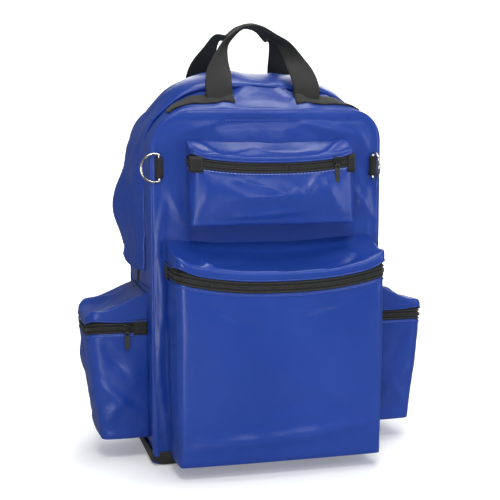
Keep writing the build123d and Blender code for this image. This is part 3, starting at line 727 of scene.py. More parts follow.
def main_body():
    """The front, the back, the roof either side of the main zip, and the piping round both faces."""
    grid = panel_grid(FRONT_Y, 90, 150, 3.0, 11, FRONT_FOLDS)
    bend_front(sheet_of("front_fabric", grid, -2.2, FABRIC), "front_panel", "cover_panel")
    grid = panel_grid(BACK_Y, 78, 120, 1.0, 21, BACK_FOLDS)
    place(sheet_of("back_fabric", grid, 2.2, FABRIC), "pack_body", "back_panel")

    front = skin_grid(FRONT_Y, -ZIP_HALF, 18, 210)
    bend_front(sheet_of("cover_gusset_fabric", front, -2, FABRIC), "cover_gusset", slope=COVER_SLOPE)
    rear = skin_grid(ZIP_HALF, BACK_Y, 18, 210)
    place(sheet_of("rear_gusset_fabric", rear, -2, FABRIC), "pack_body", "rear_gusset")

    lower_gussets()
    bend_front(tube("front_piping", rim(FRONT_Y + 0.6, BOOT_TOP - 2), PIPING, FABRIC))
    place(tube("back_piping", rim(BACK_Y - 0.6, BOOT_TOP - 2), PIPING, FABRIC), "pack_body")
    bend_front(stitches("front_seam_thread", [rim(FRONT_Y, BOOT_TOP + 2, 12, -1.4)], BLUE_THREAD))
    place(stitches("back_seam_thread", [rim(BACK_Y, BOOT_TOP + 2, 12, 0.9)], BLUE_THREAD), "pack_body")


def lower_gussets():
    """The bag's sides below the main zip, each with the seam that joins it to the roof."""
    rows, columns = 48, 40
    for side, sign in (("left", -1), ("right", 1)):
        grid = []
        for i in range(rows + 1):
            z = mix(PANEL_LOW, SEAM_Z, i / rows)
            line = []
            for k in range(columns + 1):
                y = mix(FRONT_Y, BACK_Y, k / columns)
                soft = 2.5 * (1 - (y / HALF_D) ** 2) + 2.6 * crumple((sign * 400, y, z), 52, 5)
                soft = (soft + folds_at((0, y, z), SIDE_FOLDS)) * ramp(0, 12, HALF_D - abs(y)) * boot_fade(z)
                line.append(Vector((sign * (HALF_W + soft), y, z)))
            grid.append(line)
        piece = sheet_of(f"lower_gusset_fabric_{side}", grid, 2 * sign, FABRIC)
        place(piece, "pack_body", f"lower_gusset_{side}")

        seam = [(sign * (HALF_W + 2.9 - abs(y) * 0.024), y, SEAM_Z) for y in range(-98, 99, 4)]
        place(tube(f"gusset_seam_{side}", seam, SEAM, FABRIC), "pack_body")
        below = [(x, y, z - 6) for x, y, z in seam]
        front = [p for p in below if p[1] < side_low[1] - 5]
        rear = [p for p in below if p[1] > side_high[1] + 5]
        place(stitches(f"gusset_seam_thread_{side}", [front, rear], BLUE_THREAD), "pack_body")


SIDE_FOLDS = [
    ((0, -90, 190), (0, -72, 60), 9, 2.4),
    ((0, -84, 240), (0, -76, 150), 8, -2.0),
    ((0, 92, 200), (0, 70, 60), 9, 2.2),
    ((0, 84, 250), (0, 78, 130), 8, -2.0),
]


ZIP_TEETH = 400


def main_zip():
    """The main zip's tapes with their teeth: the front half is baked in place and rides on no body, the rear
    half rides on the body.
    """
    for half, sign, node_name in (("front", -1, "main_zip_cover_half"), ("rear", 1, "main_zip_body_half")):
        fore, aft = sorted((sign * 0.8, sign * (ZIP_HALF + 2)))
        tape = sheet_of(f"main_zip_{half}_tape", skin_grid(fore, aft, 4, 200, 1.0), -1.2, TAPE)
        inner, outer = skin_grid(sign * 0.1, sign * 2.4, 1, ZIP_TEETH, 2.0)
        parts = []
        for k in range(1, ZIP_TEETH):
            along = (inner[k + 1] - inner[k - 1]).normalized()
            across = (outer[k] - inner[k]).normalized()
            centre = (inner[k] + outer[k]) / 2
            parts.append(box_parts(centre, along, across, across.cross(along) * -sign, MAIN_TOOTH_SIZE))
        if sign < 0:
            bend_front(tape, node_name, slope=COVER_SLOPE)
            bend_front(gather(f"main_zip_{half}_teeth", parts, COIL), slope=COVER_SLOPE)
        else:
            place(tape, "pack_body", node_name)
            place(gather(f"main_zip_{half}_teeth", parts, COIL), "pack_body")


def flap_stand(p, q):
    """How far the storm flap stands off the roof's outline: q is 0 at its seam and 1 at its free edge."""
    x, _, z = p
    left = x < 0
    sign = -1 if left else 1
    drop = ramp(PEAK - 50, 350, z)
    flare = drop * (26 * q ** 0.8 if left else 31 * q ** 0.5) * (1 - 0.35 * ramp(350, flap_low[2], z))
    wave = q * drop * 3.6 * math.sin(z / 19 + sign + 2.2 * q)
    ridge = (1 - drop) * 1.5 * bell(x, RIDGE_X, 60) * math.sin(math.pi * q)
    over_sliders = ramp(150, 110, abs(x)) * ramp(5, 40, abs(x))
    slack = (1 - drop) * 6.5 * over_sliders * abs(math.sin(math.pi * q)) ** 0.5
    creases = folds_at(p, FLAP_FOLDS) + 3.0 * crumple(p, 40, 8)
    return 3.2 + 3.8 * q + flare + wave + ridge + slack + creases


def storm_flap():
    """The cloth flap over the main zip: sewn at its front edge, loose behind, standing out at its tips."""
    seam_y, free_y = flap_low[1], flap_high[1]
    tip_z = flap_low[2]
    across, along = 16, 200
    grid = []
    for i in range(across + 1):
        q = i / across
        line = outline(mix(seam_y, free_y, q), tip_z - 3, along)
        row = []
        for p, normal in zip(line, outline_normals(line)):
            tuck = ramp(330, tip_z, p[2]) * 16 * q ** 1.4
            corner = ramp(tip_z + 34, tip_z, p[2]) * 16 * q ** 3
            row.append(Vector(p) + normal * flap_stand(p, q) + Vector((0, -tuck, corner)))
        grid.append(row)
    piece = sheet_of("storm_flap_cloth", grid, -1.3, FABRIC)
    place(piece, "front_cover", "storm_flap")
    place(tube("storm_flap_hem", grid[-1], 1.4, FABRIC), "front_cover")
    place(tube("storm_flap_seam", [v + Y_AXIS * 2 for v in grid[0]], 1.6, FABRIC), "front_cover")
    place(stitches("storm_flap_thread", [grid[1], grid[-2]], BLUE_THREAD), "front_cover")


FLAP_FOLDS = [
    ((-110, -40, 540), (-150, 20, 480), 16, 3.5),
    ((120, -40, 540), (160, 10, 450), 16, 3.5),
    ((-165, -40, 470), (-176, 20, 400), 16, 3.5),
    ((-165, -30, 380), (-180, 30, 340), 14, -3.0),
    ((30, -40, 548), (-20, 20, 552), 14, 2.5),
    ((165, -30, 420), (180, 30, 350), 16, 3.2),
]


BOOT_RADIUS = 16
# The shoe's section, from its floor up to its rim: place inward (less than 0) of its wall, and height.
BOOT_PROFILE = [(-40, 0), (-14, 0), (-6, 0.4), (-2, 2), (-0.5, 5), (0, 9), (0, BOOT_TOP - 3),
                (-0.3, BOOT_TOP)]


def boot_loop(inset, z):
    """The shoe's rounded rectangle at a height."""
    half_x, half_y = boot_high[0] + 1.0 + inset, boot_high[1] + 1.0 + inset
    radius = BOOT_RADIUS + min(0, inset) * 0.2
    loop = []
    for sx, sy, start in ((1, 1, 0), (-1, 1, 90), (-1, -1, 180), (1, -1, 270)):
        for k in range(9):
            turn = math.radians(start + 90 * k / 8)
            x = sx * half_x - sx * radius + radius * math.cos(turn)
            loop.append((x, sy * half_y - sy * radius + radius * math.sin(turn), z))
    return [Vector(p) for p in resample(loop + [loop[0]], 150)[:-1]]


def boot():
    """The base's shoe: a shallow tray with rounded corners, a bound rim and a soft lower edge."""
    rows = [boot_loop(inset, z) for inset, z in BOOT_PROFILE]
    floor = [[Vector((p.x * k, p.y * k, 0.0)) for p in rows[0]] for k in (0.02, 0.5)]
    place(sheet_of("boot_shoe", floor + rows, 1.4, BOOT, closed=True), "pack_body", "base_boot")
    top = rows[-1] + [rows[-1][0]]
    place(tube("boot_rim", raised(top, -0.5), 1.3, BINDING), "pack_body")
    seam = [v + Vector((math.copysign(0.3, v.x), math.copysign(0.3, v.y), -4.5)) for v in top]
    place(stitches("boot_thread", [seam], DARK_THREAD), "pack_body")


# ---- pockets
def front_place(a, b, c):
    """A point of a front pocket, from its place across, its reach off the bag and its height."""
    return Vector((a, FRONT_Y - b, c))


def side_place(sign):
    """The same for the side pocket on one side."""
    mid = (side_low[1] + side_high[1]) / 2
    return lambda a, b, c: Vector((sign * (HALF_W + b), mid + a, c))


def plan(half, depth, radius, sides, front):
    """A pocket's plan: wall, corner, front, corner, wall. Each point is its place across and its reach."""
    points = []
    for k in range(sides):
        points.append((-half, (depth - radius) * k / sides))
    for k in range(6):
        turn = math.pi / 2 * k / 5
        points.append((-half + radius * (1 - math.cos(turn)), depth - radius + radius * math.sin(turn)))
    for k in range(1, front):
        points.append((mix(-half + radius, half - radius, k / front), depth))
    points += [(-a, b) for a, b in reversed(points[:sides + 6])]
    return points


class Pocket:
    """A lidded pocket: bag, zip band and lid share one plan and one sag.

    Its sizes are half widths and reaches off the bag, low and at the top; the heights of its floor, its rim,
    the lid's lower and front edges and the lid's root; the rim's sag; the plan's corner and its number of
    steps along the front and the sides; its creases; how far the lid's corners stand up (ears) and its middle
    hangs (hang); and how far its faces bulge.
    """

    def __init__(self, name, put, **sizes):
        self.name, self.put = name, put
        self.thread = PALE_THREAD if name == "upper_pocket" else BLUE_THREAD
        for key, value in sizes.items():
            setattr(self, key, value)

    def drop(self, a, b, half, depth):
        """How far the rim sags at a place on the plan: most at the middle of the front."""
        across = max(0, 1 - (abs(a) / half) ** 2.4)
        return self.sag * across * ramp(0.45, 1, b / depth)

    def loop(self, t):
        """Half width, reach and plan, from the floor at 0 to the rim at 1."""
        half = mix(self.half_low, self.half_top, t)
        depth = mix(self.reach_low, self.reach_top, t)
        return half, depth, plan(half, depth, self.corner * mix(0.6, 1.5, t), self.sides, self.front)

    def noisy(self, p):
        """Soft unevenness of the bag's cloth."""
        return 2.4 * crumple(p, 58, self.seed) + 1.2 * crumple(p, 22, self.seed + 1)

    def bag(self):
        """The bag, from the middle of its floor up to its rim."""
        rows = []
        _, _, loop = self.loop(0)
        for k in (0.02, 0.3, 0.6, 0.85):
            rows.append([self.put(a * k, b * k, self.low + 0.6) for a, b in loop])
        steps = 50
        for i in range(steps + 1):
            t = (i / steps) ** 0.9
            half, depth, loop = self.loop(t)
            swell = math.sin(math.pi * min(1, t * 1.02)) ** 0.7 if 0 < t < 1 else 0
            hold = ramp(0, 0.05, t) * ramp(1, 0.93, t)
            row = []
            for a, b in loop:
                c = mix(self.low, self.rim, t) - self.drop(a, b, half, depth) * ramp(0.3, 1, t)
                ahead = ramp(0.72, 1, b / depth) * (1 - (abs(a) / half) ** 3)
                beside = ramp(0.8, 1, abs(a) / half) * (1 - (2 * b / depth - 1) ** 2)
                push = hold * self.noisy((a, b, c))
                push += folds_at((a, b, c), self.folds) * ramp(1, 0.96, t)
                push += 3.5 * bell(t, 0.03, 0.05)
                out = b + ahead * (self.bulge * swell + push)
                row.append(self.put(a + math.copysign(1, a) * beside * (3.5 * swell + push), out, c))
            rows.append(row)
        return rows

    def band_at(self, share, lift=0.0):
        """A line round the zip band, from its lower edge to its upper edge."""
        half, depth, loop = self.loop(1)
        grow = 1 + (lift - 0.8) / max(half, depth)
        level = mix(self.rim - 4, self.lid_low + 3, share)
        return [self.put(a * grow, b * grow, level - self.drop(a, b, half, depth)) for a, b in loop]

    def lid(self):
        """The lid: its skirt from the zip up to its front edge, and its top back to the root on the bag."""
        half, depth, _ = self.loop(1)
        half, depth = half + 1.6, depth + 1.6
        loop = plan(half, depth, self.corner * 1.5, self.sides, self.front)
        skirt = [(0.0, 0.0), (0.0, 0.3), (0.0, 0.6), (0.01, 0.85), (0.035, 1.0)]
        top = [(0.035 + 0.965 * k / 16, None) for k in range(1, 17)]
        rows = []
        for back, share in skirt + top:
            if share is None:
                level = mix(self.front_edge, self.root, ramp(0.0, 1.0, back) * 0.45 + back * 0.55)
            else:
                level = self.lid_low + (self.front_edge - self.lid_low) * share
            hold = ramp(0, 0.04, back)
            row = []
            for a, b in loop:
                reach = b * (1 - back)
                sag = self.drop(a, b, half, depth) * (1 - back) ** 0.8
                ear = bell(abs(a) / half, 1, 0.12) * bell(b / depth, 1, 0.3) * bell(back, 0.02, 0.16)
                sway = (1 - (a / half) ** 2) * math.sin(math.pi * min(1, back)) * ramp(0.2, 0.9, b / depth)
                c = level - sag + self.ears * ear - self.hang * sway
                c += (1.8 * crumple((a, reach, c), 40, self.seed + 4) * hold * (1 - back)
                      + folds_at((a, reach, 0), self.lid_folds) * hold)
                row.append(self.put(a, reach - 0.2, c))
            rows.append(row)
        return rows

    def make(self, body, lid_body, bag_node, lid_node, zip_node):
        rows = self.bag()
        place(sheet_of(f"{self.name}_bag", rows, self.wall(rows), FABRIC), body, bag_node)
        band = [self.band_at(k / 6) for k in range(7)]
        piece = sheet_of(f"{self.name}_zip_tape", band, self.wall(band) * 0.6, TAPE)
        place(piece, body, *([zip_node] if zip_node else []))
        line = self.band_at(0.5, 1.4)
        centre = self.put(0, 0, line[0].z)
        outs = []
        for p, step in zip(line, steps_along(line)):
            out = step.cross(Z_AXIS).normalized()
            outs.append(out if out.dot(p - centre) >= 0 else -out)
        place(teeth(f"{self.name}_zip_teeth", line, outs, COIL), body)
        # The band's fold lines take the paler copy of the tape: a painted highlight along the folds.
        for edge, share in (("lower", 0.26), ("upper", 0.76)):
            place(tube(f"{self.name}_zip_{edge}_fold", self.band_at(share, 1.0), 1.1, TAPE_FOLD_HIGHLIGHT), body)
        lid = self.lid()
        place(sheet_of(f"{self.name}_lid_cloth", lid, self.wall(lid), FABRIC), lid_body, lid_node)
        place(tube(f"{self.name}_lid_edge", raised(lid[0], 0.6), 1.2, FABRIC), lid_body)
        root = lid[-1][self.sides:-self.sides]
        place(tube(f"{self.name}_lid_seam", raised(root, 0.4), SEAM, FABRIC), lid_body)
        place(tube(f"{self.name}_rim_edge", self.band_at(0.0, 1.0), 1.2, FABRIC), body)
        _, normal = grid_normals(rows, False)
        lift = math.copysign(0.3, self.wall(rows))
        lower = [v + Vector(normal[-2, k]) * lift for k, v in enumerate(rows[-2])]
        place(stitches(f"{self.name}_rim_thread", [lower], self.thread), body)

    def wall(self, rows):
        """Thickness with the sign that puts the cloth's second face inside the pocket."""
        return facing(rows, CLOTH, self.put(0, 1, 0) - self.put(0, 0, 0))


LOWER_FOLDS = [
    ((-140, 82, 44), (-60, 82, 52), 22, 8.0),
    ((-90, 82, 50), (40, 82, 56), 22, 9.0),
    ((10, 82, 56), (140, 82, 66), 22, 9.0),
    ((-90, 82, 92), (100, 82, 100), 26, -3.5),
    ((-132, 82, 30), (-140, 82, 130), 10, 3.4),
    ((124, 82, 34), (140, 82, 150), 11, 3.6),
    ((-110, 82, 246), (-40, 82, 210), 20, -3.0),
    ((24, 82, 226), (120, 82, 250), 20, -3.0),
    ((-60, 82, 180), (40, 82, 120), 26, 2.2),
    ((-142, 40, 240), (-138, 50, 60), 12, 3.0),
    ((142, 40, 230), (138, 46, 70), 12, 3.0),
]
LOWER_LID_FOLDS = [
    ((-118, 52, 0), (-96, 86, 0), 11, 9.0),
    ((-140, 30, 0), (-112, 74, 0), 12, -4.5),
    ((-88, 60, 0), (-40, 40, 0), 13, -3.5),
    ((-100, 16, 0), (96, 20, 0), 20, -4.0),
    ((92, 30, 0), (132, 80, 0), 14, 6.0),
    ((60, 84, 0), (120, 56, 0), 13, -4.5),
]
UPPER_FOLDS = [
    ((-112, 34, 348), (-92, 34, 404), 12, 5.5),
    ((-80, 34, 352), (40, 34, 360), 14, 4.0),
    ((100, 34, 346), (72, 34, 404), 14, 5.0),
    ((40, 34, 378), (66, 34, 414), 10, 4.0),
    ((104, 34, 368), (110, 34, 414), 9, -3.4),
    ((-60, 34, 404), (10, 34, 388), 16, -3.0),
    ((-70, 34, 378), (30, 34, 384), 22, 3.0),
]
UPPER_LID_FOLDS = [
    ((-106, 8, 0), (-78, 34, 0), 9, 4.5),
    ((-60, 30, 0), (-10, 12, 0), 10, 3.0),
    ((70, 34, 0), (108, 8, 0), 10, 5.0),
    ((-20, 14, 0), (60, 18, 0), 10, -3.0),
]
SIDE_BAG_FOLDS = [
    ((-60, 84, 120), (-10, 80, 76), 16, 6.0),
    ((20, 84, 160), (60, 76, 96), 15, 6.0),
    ((-62, 40, 90), (-58, 66, 50), 13, 6.0),
    ((62, 40, 110), (58, 62, 60), 13, -5.0),
    ((-62, 70, 176), (-60, 30, 120), 14, -4.5),
    ((-40, 78, 52), (50, 76, 60), 14, 5.0),
    ((-62, 20, 70), (-60, 76, 120), 12, 4.5),
    ((0, 88, 176), (-30, 84, 130), 14, -4.0),
]
SIDE_LID_FOLDS = [
    ((-40, 50, 0), (-58, 84, 0), 12, 5.0),
    ((30, 40, 0), (58, 80, 0), 12, 5.0),
    ((-50, 20, 0), (-20, 60, 0), 11, -4.0),
    ((0, 70, 0), (40, 20, 0), 12, 3.5),
]


def pockets():
    Pocket(
        "lower_pocket", front_place, half_low=pocket_high[0] - 4, half_top=pocket_high[0],
        reach_low=FRONT_Y - pocket_low[1] - 1, reach_top=FRONT_Y - pocket_low[1], low=pocket_low[2],
        rim=pocket_high[2] - 2.5, lid_low=lower_zip_high[2] + 2.5, front_edge=lower_zip_high[2] + 16,
        root=lower_lid_high[2], sag=18, corner=8, front=52, sides=14, seed=31, folds=LOWER_FOLDS,
        lid_folds=LOWER_LID_FOLDS, ears=5.0, hang=13.0, bulge=7.0,
    ).make("pack_body", "lower_lid", "lower_pocket", "lower_pocket_lid", "lower_pocket_zip")
    Pocket(
        "upper_pocket", front_place, half_low=upper_high[0], half_top=upper_high[0],
        reach_low=FRONT_Y - upper_low[1], reach_top=FRONT_Y - upper_low[1], low=upper_low[2],
        rim=upper_high[2] - 1.5, lid_low=upper_zip_high[2] + 1.5, front_edge=upper_zip_high[2] + 9,
        root=upper_lid_high[2], sag=10, corner=7, front=44, sides=8, seed=41, folds=UPPER_FOLDS,
        lid_folds=UPPER_LID_FOLDS, ears=4.0, hang=5.0, bulge=11.0,
    ).make("front_cover", "upper_lid", "upper_pocket", "upper_pocket_lid", "upper_pocket_zip")
    half = (side_high[1] - side_low[1]) / 2
    reach = side_high[0] - HALF_W
    for side, sign in (("left", -1), ("right", 1)):
        name = f"side_pocket_{side}"
        Pocket(
            name, side_place(sign), half_low=half - 1, half_top=half, reach_low=reach - 20, reach_top=reach,
            low=side_low[2], rim=side_high[2] - 2, lid_low=side_zip_high[2] + 2,
            front_edge=side_zip_high[2] + 14, root=side_lid_high[2], sag=6, corner=12, front=26, sides=12,
            seed=51 + sign, folds=SIDE_BAG_FOLDS, lid_folds=SIDE_LID_FOLDS, ears=4.0, hang=5.0, bulge=5.0,
        ).make("pack_body", f"side_lid_{side}", name, f"side_pocket_lid_{side}",
               "side_pocket_zips" if sign < 0 else None)


# ---- zip ends
def end_tab(name, centre, across, up, out, body, *nodes, size=(20, 22)):
    """A square of webbing sewn over a zip's end."""
    grid = []
    for i in range(7):
        row = []
        for k in range(7):
            u, v = k / 6 - 0.5, i / 6 - 0.5
            dome = 1.6 * (1 - (2 * u) ** 4) * (1 - (2 * v) ** 4)
            row.append(centre + across * u * size[0] + up * v * size[1] + out * (0.8 + dome))
        grid.append(row)
    place(sheet_of(name, grid, facing(grid, 1.4, out), WEBBING), body, *nodes)
    square = [(1, k) for k in range(1, 6)] + [(i, 5) for i in range(2, 6)]
    square += [(5, k) for k in range(4, 0, -1)] + [(i, 1) for i in range(4, 0, -1)]
    edge = [grid[i][k] + out * 0.5 for i, k in square]
    place(stitches(f"{name}_thread", [edge], DARK_THREAD, 2.2, 1.2, 0.32), body)


def zip_ends():
    """The squares over the pockets' zip ends. The lower pocket has one, on its left wall."""
    tabs_low, tabs_high = corners("upper_end_tabs")
    front, mid = tabs_low[1] + 1, (tabs_low[2] + tabs_high[2]) / 2
    end_tab("upper_tab_left", Vector((tabs_low[0] + 7, front, mid)), X_AXIS, Z_AXIS, -Y_AXIS, "front_cover",
            "upper_end_tabs")
    end_tab("upper_tab_right", Vector((tabs_high[0] - 3, front + 1, mid)), X_AXIS, Z_AXIS, -Y_AXIS,
            "front_cover", size=(11, 26))
    mid = (pocket_high[2] + lower_zip_high[2]) / 2
    end_tab("lower_tab_left", Vector((-pocket_high[0] - 1, FRONT_Y - 13, mid)), Y_AXIS, Z_AXIS, -X_AXIS,
            "pack_body", "pocket_end_tabs", size=(20, 24))
    mid = (side_high[2] + side_zip_high[2]) / 2
    for side, sign in (("left", -1), ("right", 1)):
        for end, y, out in (("front", side_low[1] - 1, -Y_AXIS), ("rear", side_high[1] + 1, Y_AXIS)):
            centre = Vector((sign * (HALF_W + 13), y, mid))
            end_tab(f"side_tab_{side}_{end}", centre, X_AXIS, Z_AXIS, out, "pack_body")


# ---- handles
HANDLE_FRONT_Y, HANDLE_REAR_Y = -78, 74
TOP_Y = 13           # the handles' tops lean in to this distance from the main zip
ANCHOR_STEPS = 26
ANCHOR_WIDTH = 22
ANCHOR_FROM, ANCHOR_TO = 44, 138    # the stretch across the roof that an anchor strip lies on


def handle_cup(t):
    """How far the webbing is bowed where a hand folds it, and how uneven it is elsewhere."""
    return 3.6 * ramp(0.22, 0.42, t) * ramp(0.78, 0.58, t) + 1.4 * math.sin(t * 19)


def handle_webbing(name, sign, base_y):
    """One handle's loop: both legs stand on the roof, and its top leans in over the main zip."""
    low_z = corners(name)[0][2] - 4
    top = handle_high[2]
    near = sign * TOP_Y
    left = [
        (-63, base_y, low_z, 38, 0, 0),
        (-64, base_y - sign * 5, low_z + 20, 38, 0, 0),
        (-60, mix(base_y, near, 0.28), low_z + 40, 34, 3, -5),
        (-52, mix(base_y, near, 0.55), low_z + 60, 21, 12, -9),
        (-43, mix(base_y, near, 0.76), low_z + 78, 10, 18, -7),
        (-31, mix(base_y, near, 0.92), top - 25, 4, 20, -5),
        (-15, near, top - 13, 1, 21, -2),
        (-2, near, top - 9.5, 0, 21, 0),
    ]
    right = [(-x, y, z, -wx, wy, wz) for x, y, z, wx, wy, wz in reversed(left)]
    return ribbon(f"{name}_webbing", left + right, 2.2, WEBBING, cup=handle_cup, across=11, pitch=3.2)


def anchor_grid(base_y, flip):
    """A flat strip of webbing that lies across the roof from a handle's leg down to the shoulder."""
    grid = []
    for i in range(8):
        line = outline(base_y - ANCHOR_WIDTH / 2 + ANCHOR_WIDTH * i / 7, 440, 420)
        line = [p for p in line if ANCHOR_FROM <= flip * p[0] <= ANCHOR_TO]
        line = resample(line if flip > 0 else line[::-1], ANCHOR_STEPS)
        row = []
        for k, (p, normal) in enumerate(zip(line, outline_normals(line))):
            lift = roof_relief(*p) + 2.6 + 0.5 * math.sin(k * 0.9)
            row.append(Vector(p) + normal * (lift if normal.z > 0 else -lift))
        grid.append(row)
    return grid


def handles():
    for end, sign, base_y, cover in (
        ("front", -1, HANDLE_FRONT_Y, "front_cover"),
        ("rear", 1, HANDLE_REAR_Y, "pack_body"),
    ):
        name = f"handle_{end}"
        place(handle_webbing(name, sign, base_y), f"{end}_handle", name)
        seams = []
        for side, flip in (("left", -1), ("right", 1)):
            rows = anchor_grid(base_y, flip)
            strip = sheet_of(f"{name}_anchor_{side}", rows, WEB * -flip, WEBBING)
            place(strip, cover, *([f"handle_anchors_{end}"] if flip < 0 else []))
            crossed = [rows[1][-2], rows[6][-2], rows[6][-9], rows[1][-9], rows[1][-2], rows[6][-9]]
            by_the_leg = [rows[1][2], rows[6][2], rows[6][12], rows[1][12], rows[1][2]]
            seams += [raised(filled(path), 0.8) for path in (crossed, by_the_leg)]
        place(stitches(f"{name}_thread", seams, DARK_THREAD, 2.6, 1.4), cover)


def filled(points):
    """Straight runs between points, evenly filled."""
    line = []
    for a, b in zip(points, points[1:]):
        line += [a.lerp(b, k / 8) for k in range(8)]
    return line + [points[-1]]


# ---- shoulder straps
STRAP_OUTER = 118    # outer edge of the right strap, where it is straight
STRAP_X = (strap_low[0] + STRAP_OUTER) / 2
STRAP_HALF = 44
BEND_Z = 118         # the strap curves outward below this height
FOOT_OUTER = 132     # its outer edge at the foot
FACE_Y = strap_high[1]
STRAP_BACK = strap_low[1]
PALS_ROWS = [304, 256, 204, 160, 118]
PALS_HEIGHT = 25


def strap_edges(z):
    """Inner and outer edge of the right strap at a height."""
    inner, outer = STRAP_X - STRAP_HALF, STRAP_X + STRAP_HALF
    if z < BEND_Z:
        t = (BEND_Z - z) / (BEND_Z - strap_low[2])
        inner += 42 * t ** 1.6
        outer += 14 * math.sin(t * math.pi * 0.62) ** 1.1 if t > 0 else 0
        outer = mix(outer, FOOT_OUTER, ramp(0.5, 1, t))
    return inner, outer


def strap_point(sign, q, z, face):
    """A point on a strap: q runs from the inner edge (-1) to the outer edge (1)."""
    inner, outer = strap_edges(z)
    x = mix(inner, outer, (q + 1) / 2)
    crown = max(0, 1 - abs(q) ** 5)
    thin = ramp(strap_low[2], strap_low[2] + 22, z) * ramp(strap_high[2], strap_high[2] - 16, z)
    rows = sum(bell(z, row, 13) for row in PALS_ROWS)
    quilt = 1.0 - 0.20 * min(1, rows)
    puff = (2.4 + 8.4 * crown * (0.55 + 0.45 * thin) * quilt) * (0.75 + 0.25 * thin)
    creases = 1.7 * crumple((sign * x, z * 1.7, 7), 21, 61) + 1.2 * crumple((sign * x * 1.5, z, 3), 11, 62)
    y = STRAP_BACK + (puff + creases * crown if face else 0.3)
    return Vector((sign * x, y, z))


def strap_pad(side, sign):
    """The padded body of a strap, through rings of points from its top to its foot."""
    steps = 124
    rings = []
    for i in range(steps + 1):
        z = mix(strap_high[2] - 1, strap_low[2] + 1, i / steps)
        ring = [strap_point(sign, 2 * k / 20 - 1, z, True) for k in range(21)]
        rings.append(ring + [strap_point(sign, 1 - 2 * k / 8, z, False) for k in range(9)])

    def shrunk(ring, share, height):
        centre = sum(ring, Vector()) / len(ring)
        return [centre + (v - centre) * share + Vector((0, 0, height)) for v in ring]

    top, foot = rings[0], rings[-1]
    rings = [shrunk(top, 0.02, 1.0), shrunk(top, 0.5, 0.8)] + rings
    rings += [shrunk(foot, 0.5, -0.8), shrunk(foot, 0.02, -1.0)]
    return closed_form(f"strap_pad_{side}", rings, NYLON)


def strap_binding(side, sign, edge, q):
    """The ruffled tape that wraps one edge of a strap."""
    rows = []
    for i in range(200):
        z = mix(strap_high[2] - 2, strap_low[2] + 1, i / 199)
        inner, outer = strap_edges(z)
        x = inner if q < 0 else outer
        ruffle = 1.3 * noise.noise(Vector((z / 4.2, q * 9, sign * 5))) + 0.7 * math.sin(z * 1.15)
        row = []
        for k in range(9):
            inward = 9.0 * max(0, abs(k - 4) - 1.6) / 2.4
            y = mix(STRAP_BACK, STRAP_BACK + 6.0, k / 8) + ruffle * (k / 8) * 0.8
            row.append(Vector((sign * (x - q * inward + q * 1.0), y, z)))
        rows.append(row)
    return sheet_of(f"strap_binding_{side}_{edge}", rows, 1.0 if sign * q > 0 else -1.0, BINDING)


def straps():
    """The two shoulder straps: pad, bindings, the long webbing and the rows sewn across it."""
    face = FACE_Y - 1.6
    top = int(strap_high[2])
    for side, sign in (("left", -1), ("right", 1)):
        body = f"strap_{side}"
        piece = strap_pad(side, sign)
        place(piece, body, f"shoulder_strap_{side}", f"strap_foam_{side}")
        for edge, q in (("inner", -1), ("outer", 1)):
            place(strap_binding(side, sign, edge, q), body)

        heights = range(top - 4, 104, -12)
        route = [(sign * STRAP_X, face + 0.4 * math.sin(z / 23), z, 25, 0, 0) for z in heights]
        place(ribbon(f"strap_webbing_{side}_long", route, -1.5, NYLON), body, f"strap_webbing_{side}")
        lines = []
        for dx in (-10, 10):
            lines.append([Vector((sign * (STRAP_X + dx), face + 1.2, z)) for z in range(top - 6, 106, -6)])
        half = STRAP_HALF - 3
        for number, row_z in enumerate(PALS_ROWS):
            route = []
            for k in range(13):
                u = 2 * k / 12 - 1
                y = face + (1.4 + 2.2 * abs(math.sin(math.pi * u)) + (0 if abs(u) < 0.95 else -1.5))
                z = row_z + 0.8 * math.sin(3 * u + number)
                route.append((sign * (STRAP_X + u * half), y, z, 0, 0, PALS_HEIGHT))
            place(ribbon(f"strap_row_{side}_{number}", route, -1.5 * sign, PALS), body)
            for dx in (-half + 3, -13, 13, half - 3):
                x = sign * (STRAP_X + dx)
                lines.append([Vector((x, face + 3.8, row_z + dz)) for dz in (-11, 0, 11)])
        place(stitches(f"strap_thread_{side}", lines, DARK_THREAD, 2.8, 1.6), body)


def closed_form(name, rows, material):
    """A closed form through rings of points."""
    verts, cloth = [], []
    reach = 0
    for i, ring in enumerate(rows):
        if i:
            reach += (ring[0] - rows[i - 1][0]).length
        around = 0
        for k, v in enumerate(ring):
            if k:
                around += (v - ring[k - 1]).length
            verts.append(v * MM)
            cloth.append((around * MM, reach * MM, 0))
    return build(name, verts, ring_faces(len(rows), len(rows[0])), material, cloth)


# ---- webbing at the straps' ends
STANDING = (0, 0, 20)   # the width of webbing that stands on its edge
EDGE_Z = 11.5           # the height of its middle, so that its lower edge is just over the floor


def buckle_ends(side):
    """Middle of a buckle's female part and of its male part, on the strap's face side."""
    ends = []
    for part in ("female", "male"):
        low, high = corners(f"buckle_{part}_{side}")
        ends.append(Vector(((low[0] + high[0]) / 2, high[1], (low[2] + high[2]) / 2)))
    return ends


def webbing_rows(start, widths, floor):
    """Rows of a route whose first points leave the buckle, and whose other points lie on the floor."""
    points = start + [(x, y, EDGE_Z) for x, y in floor]
    widths = widths + [STANDING] * (len(points) - len(widths))
    return [(*p, *w) for p, w in zip(points, widths)]


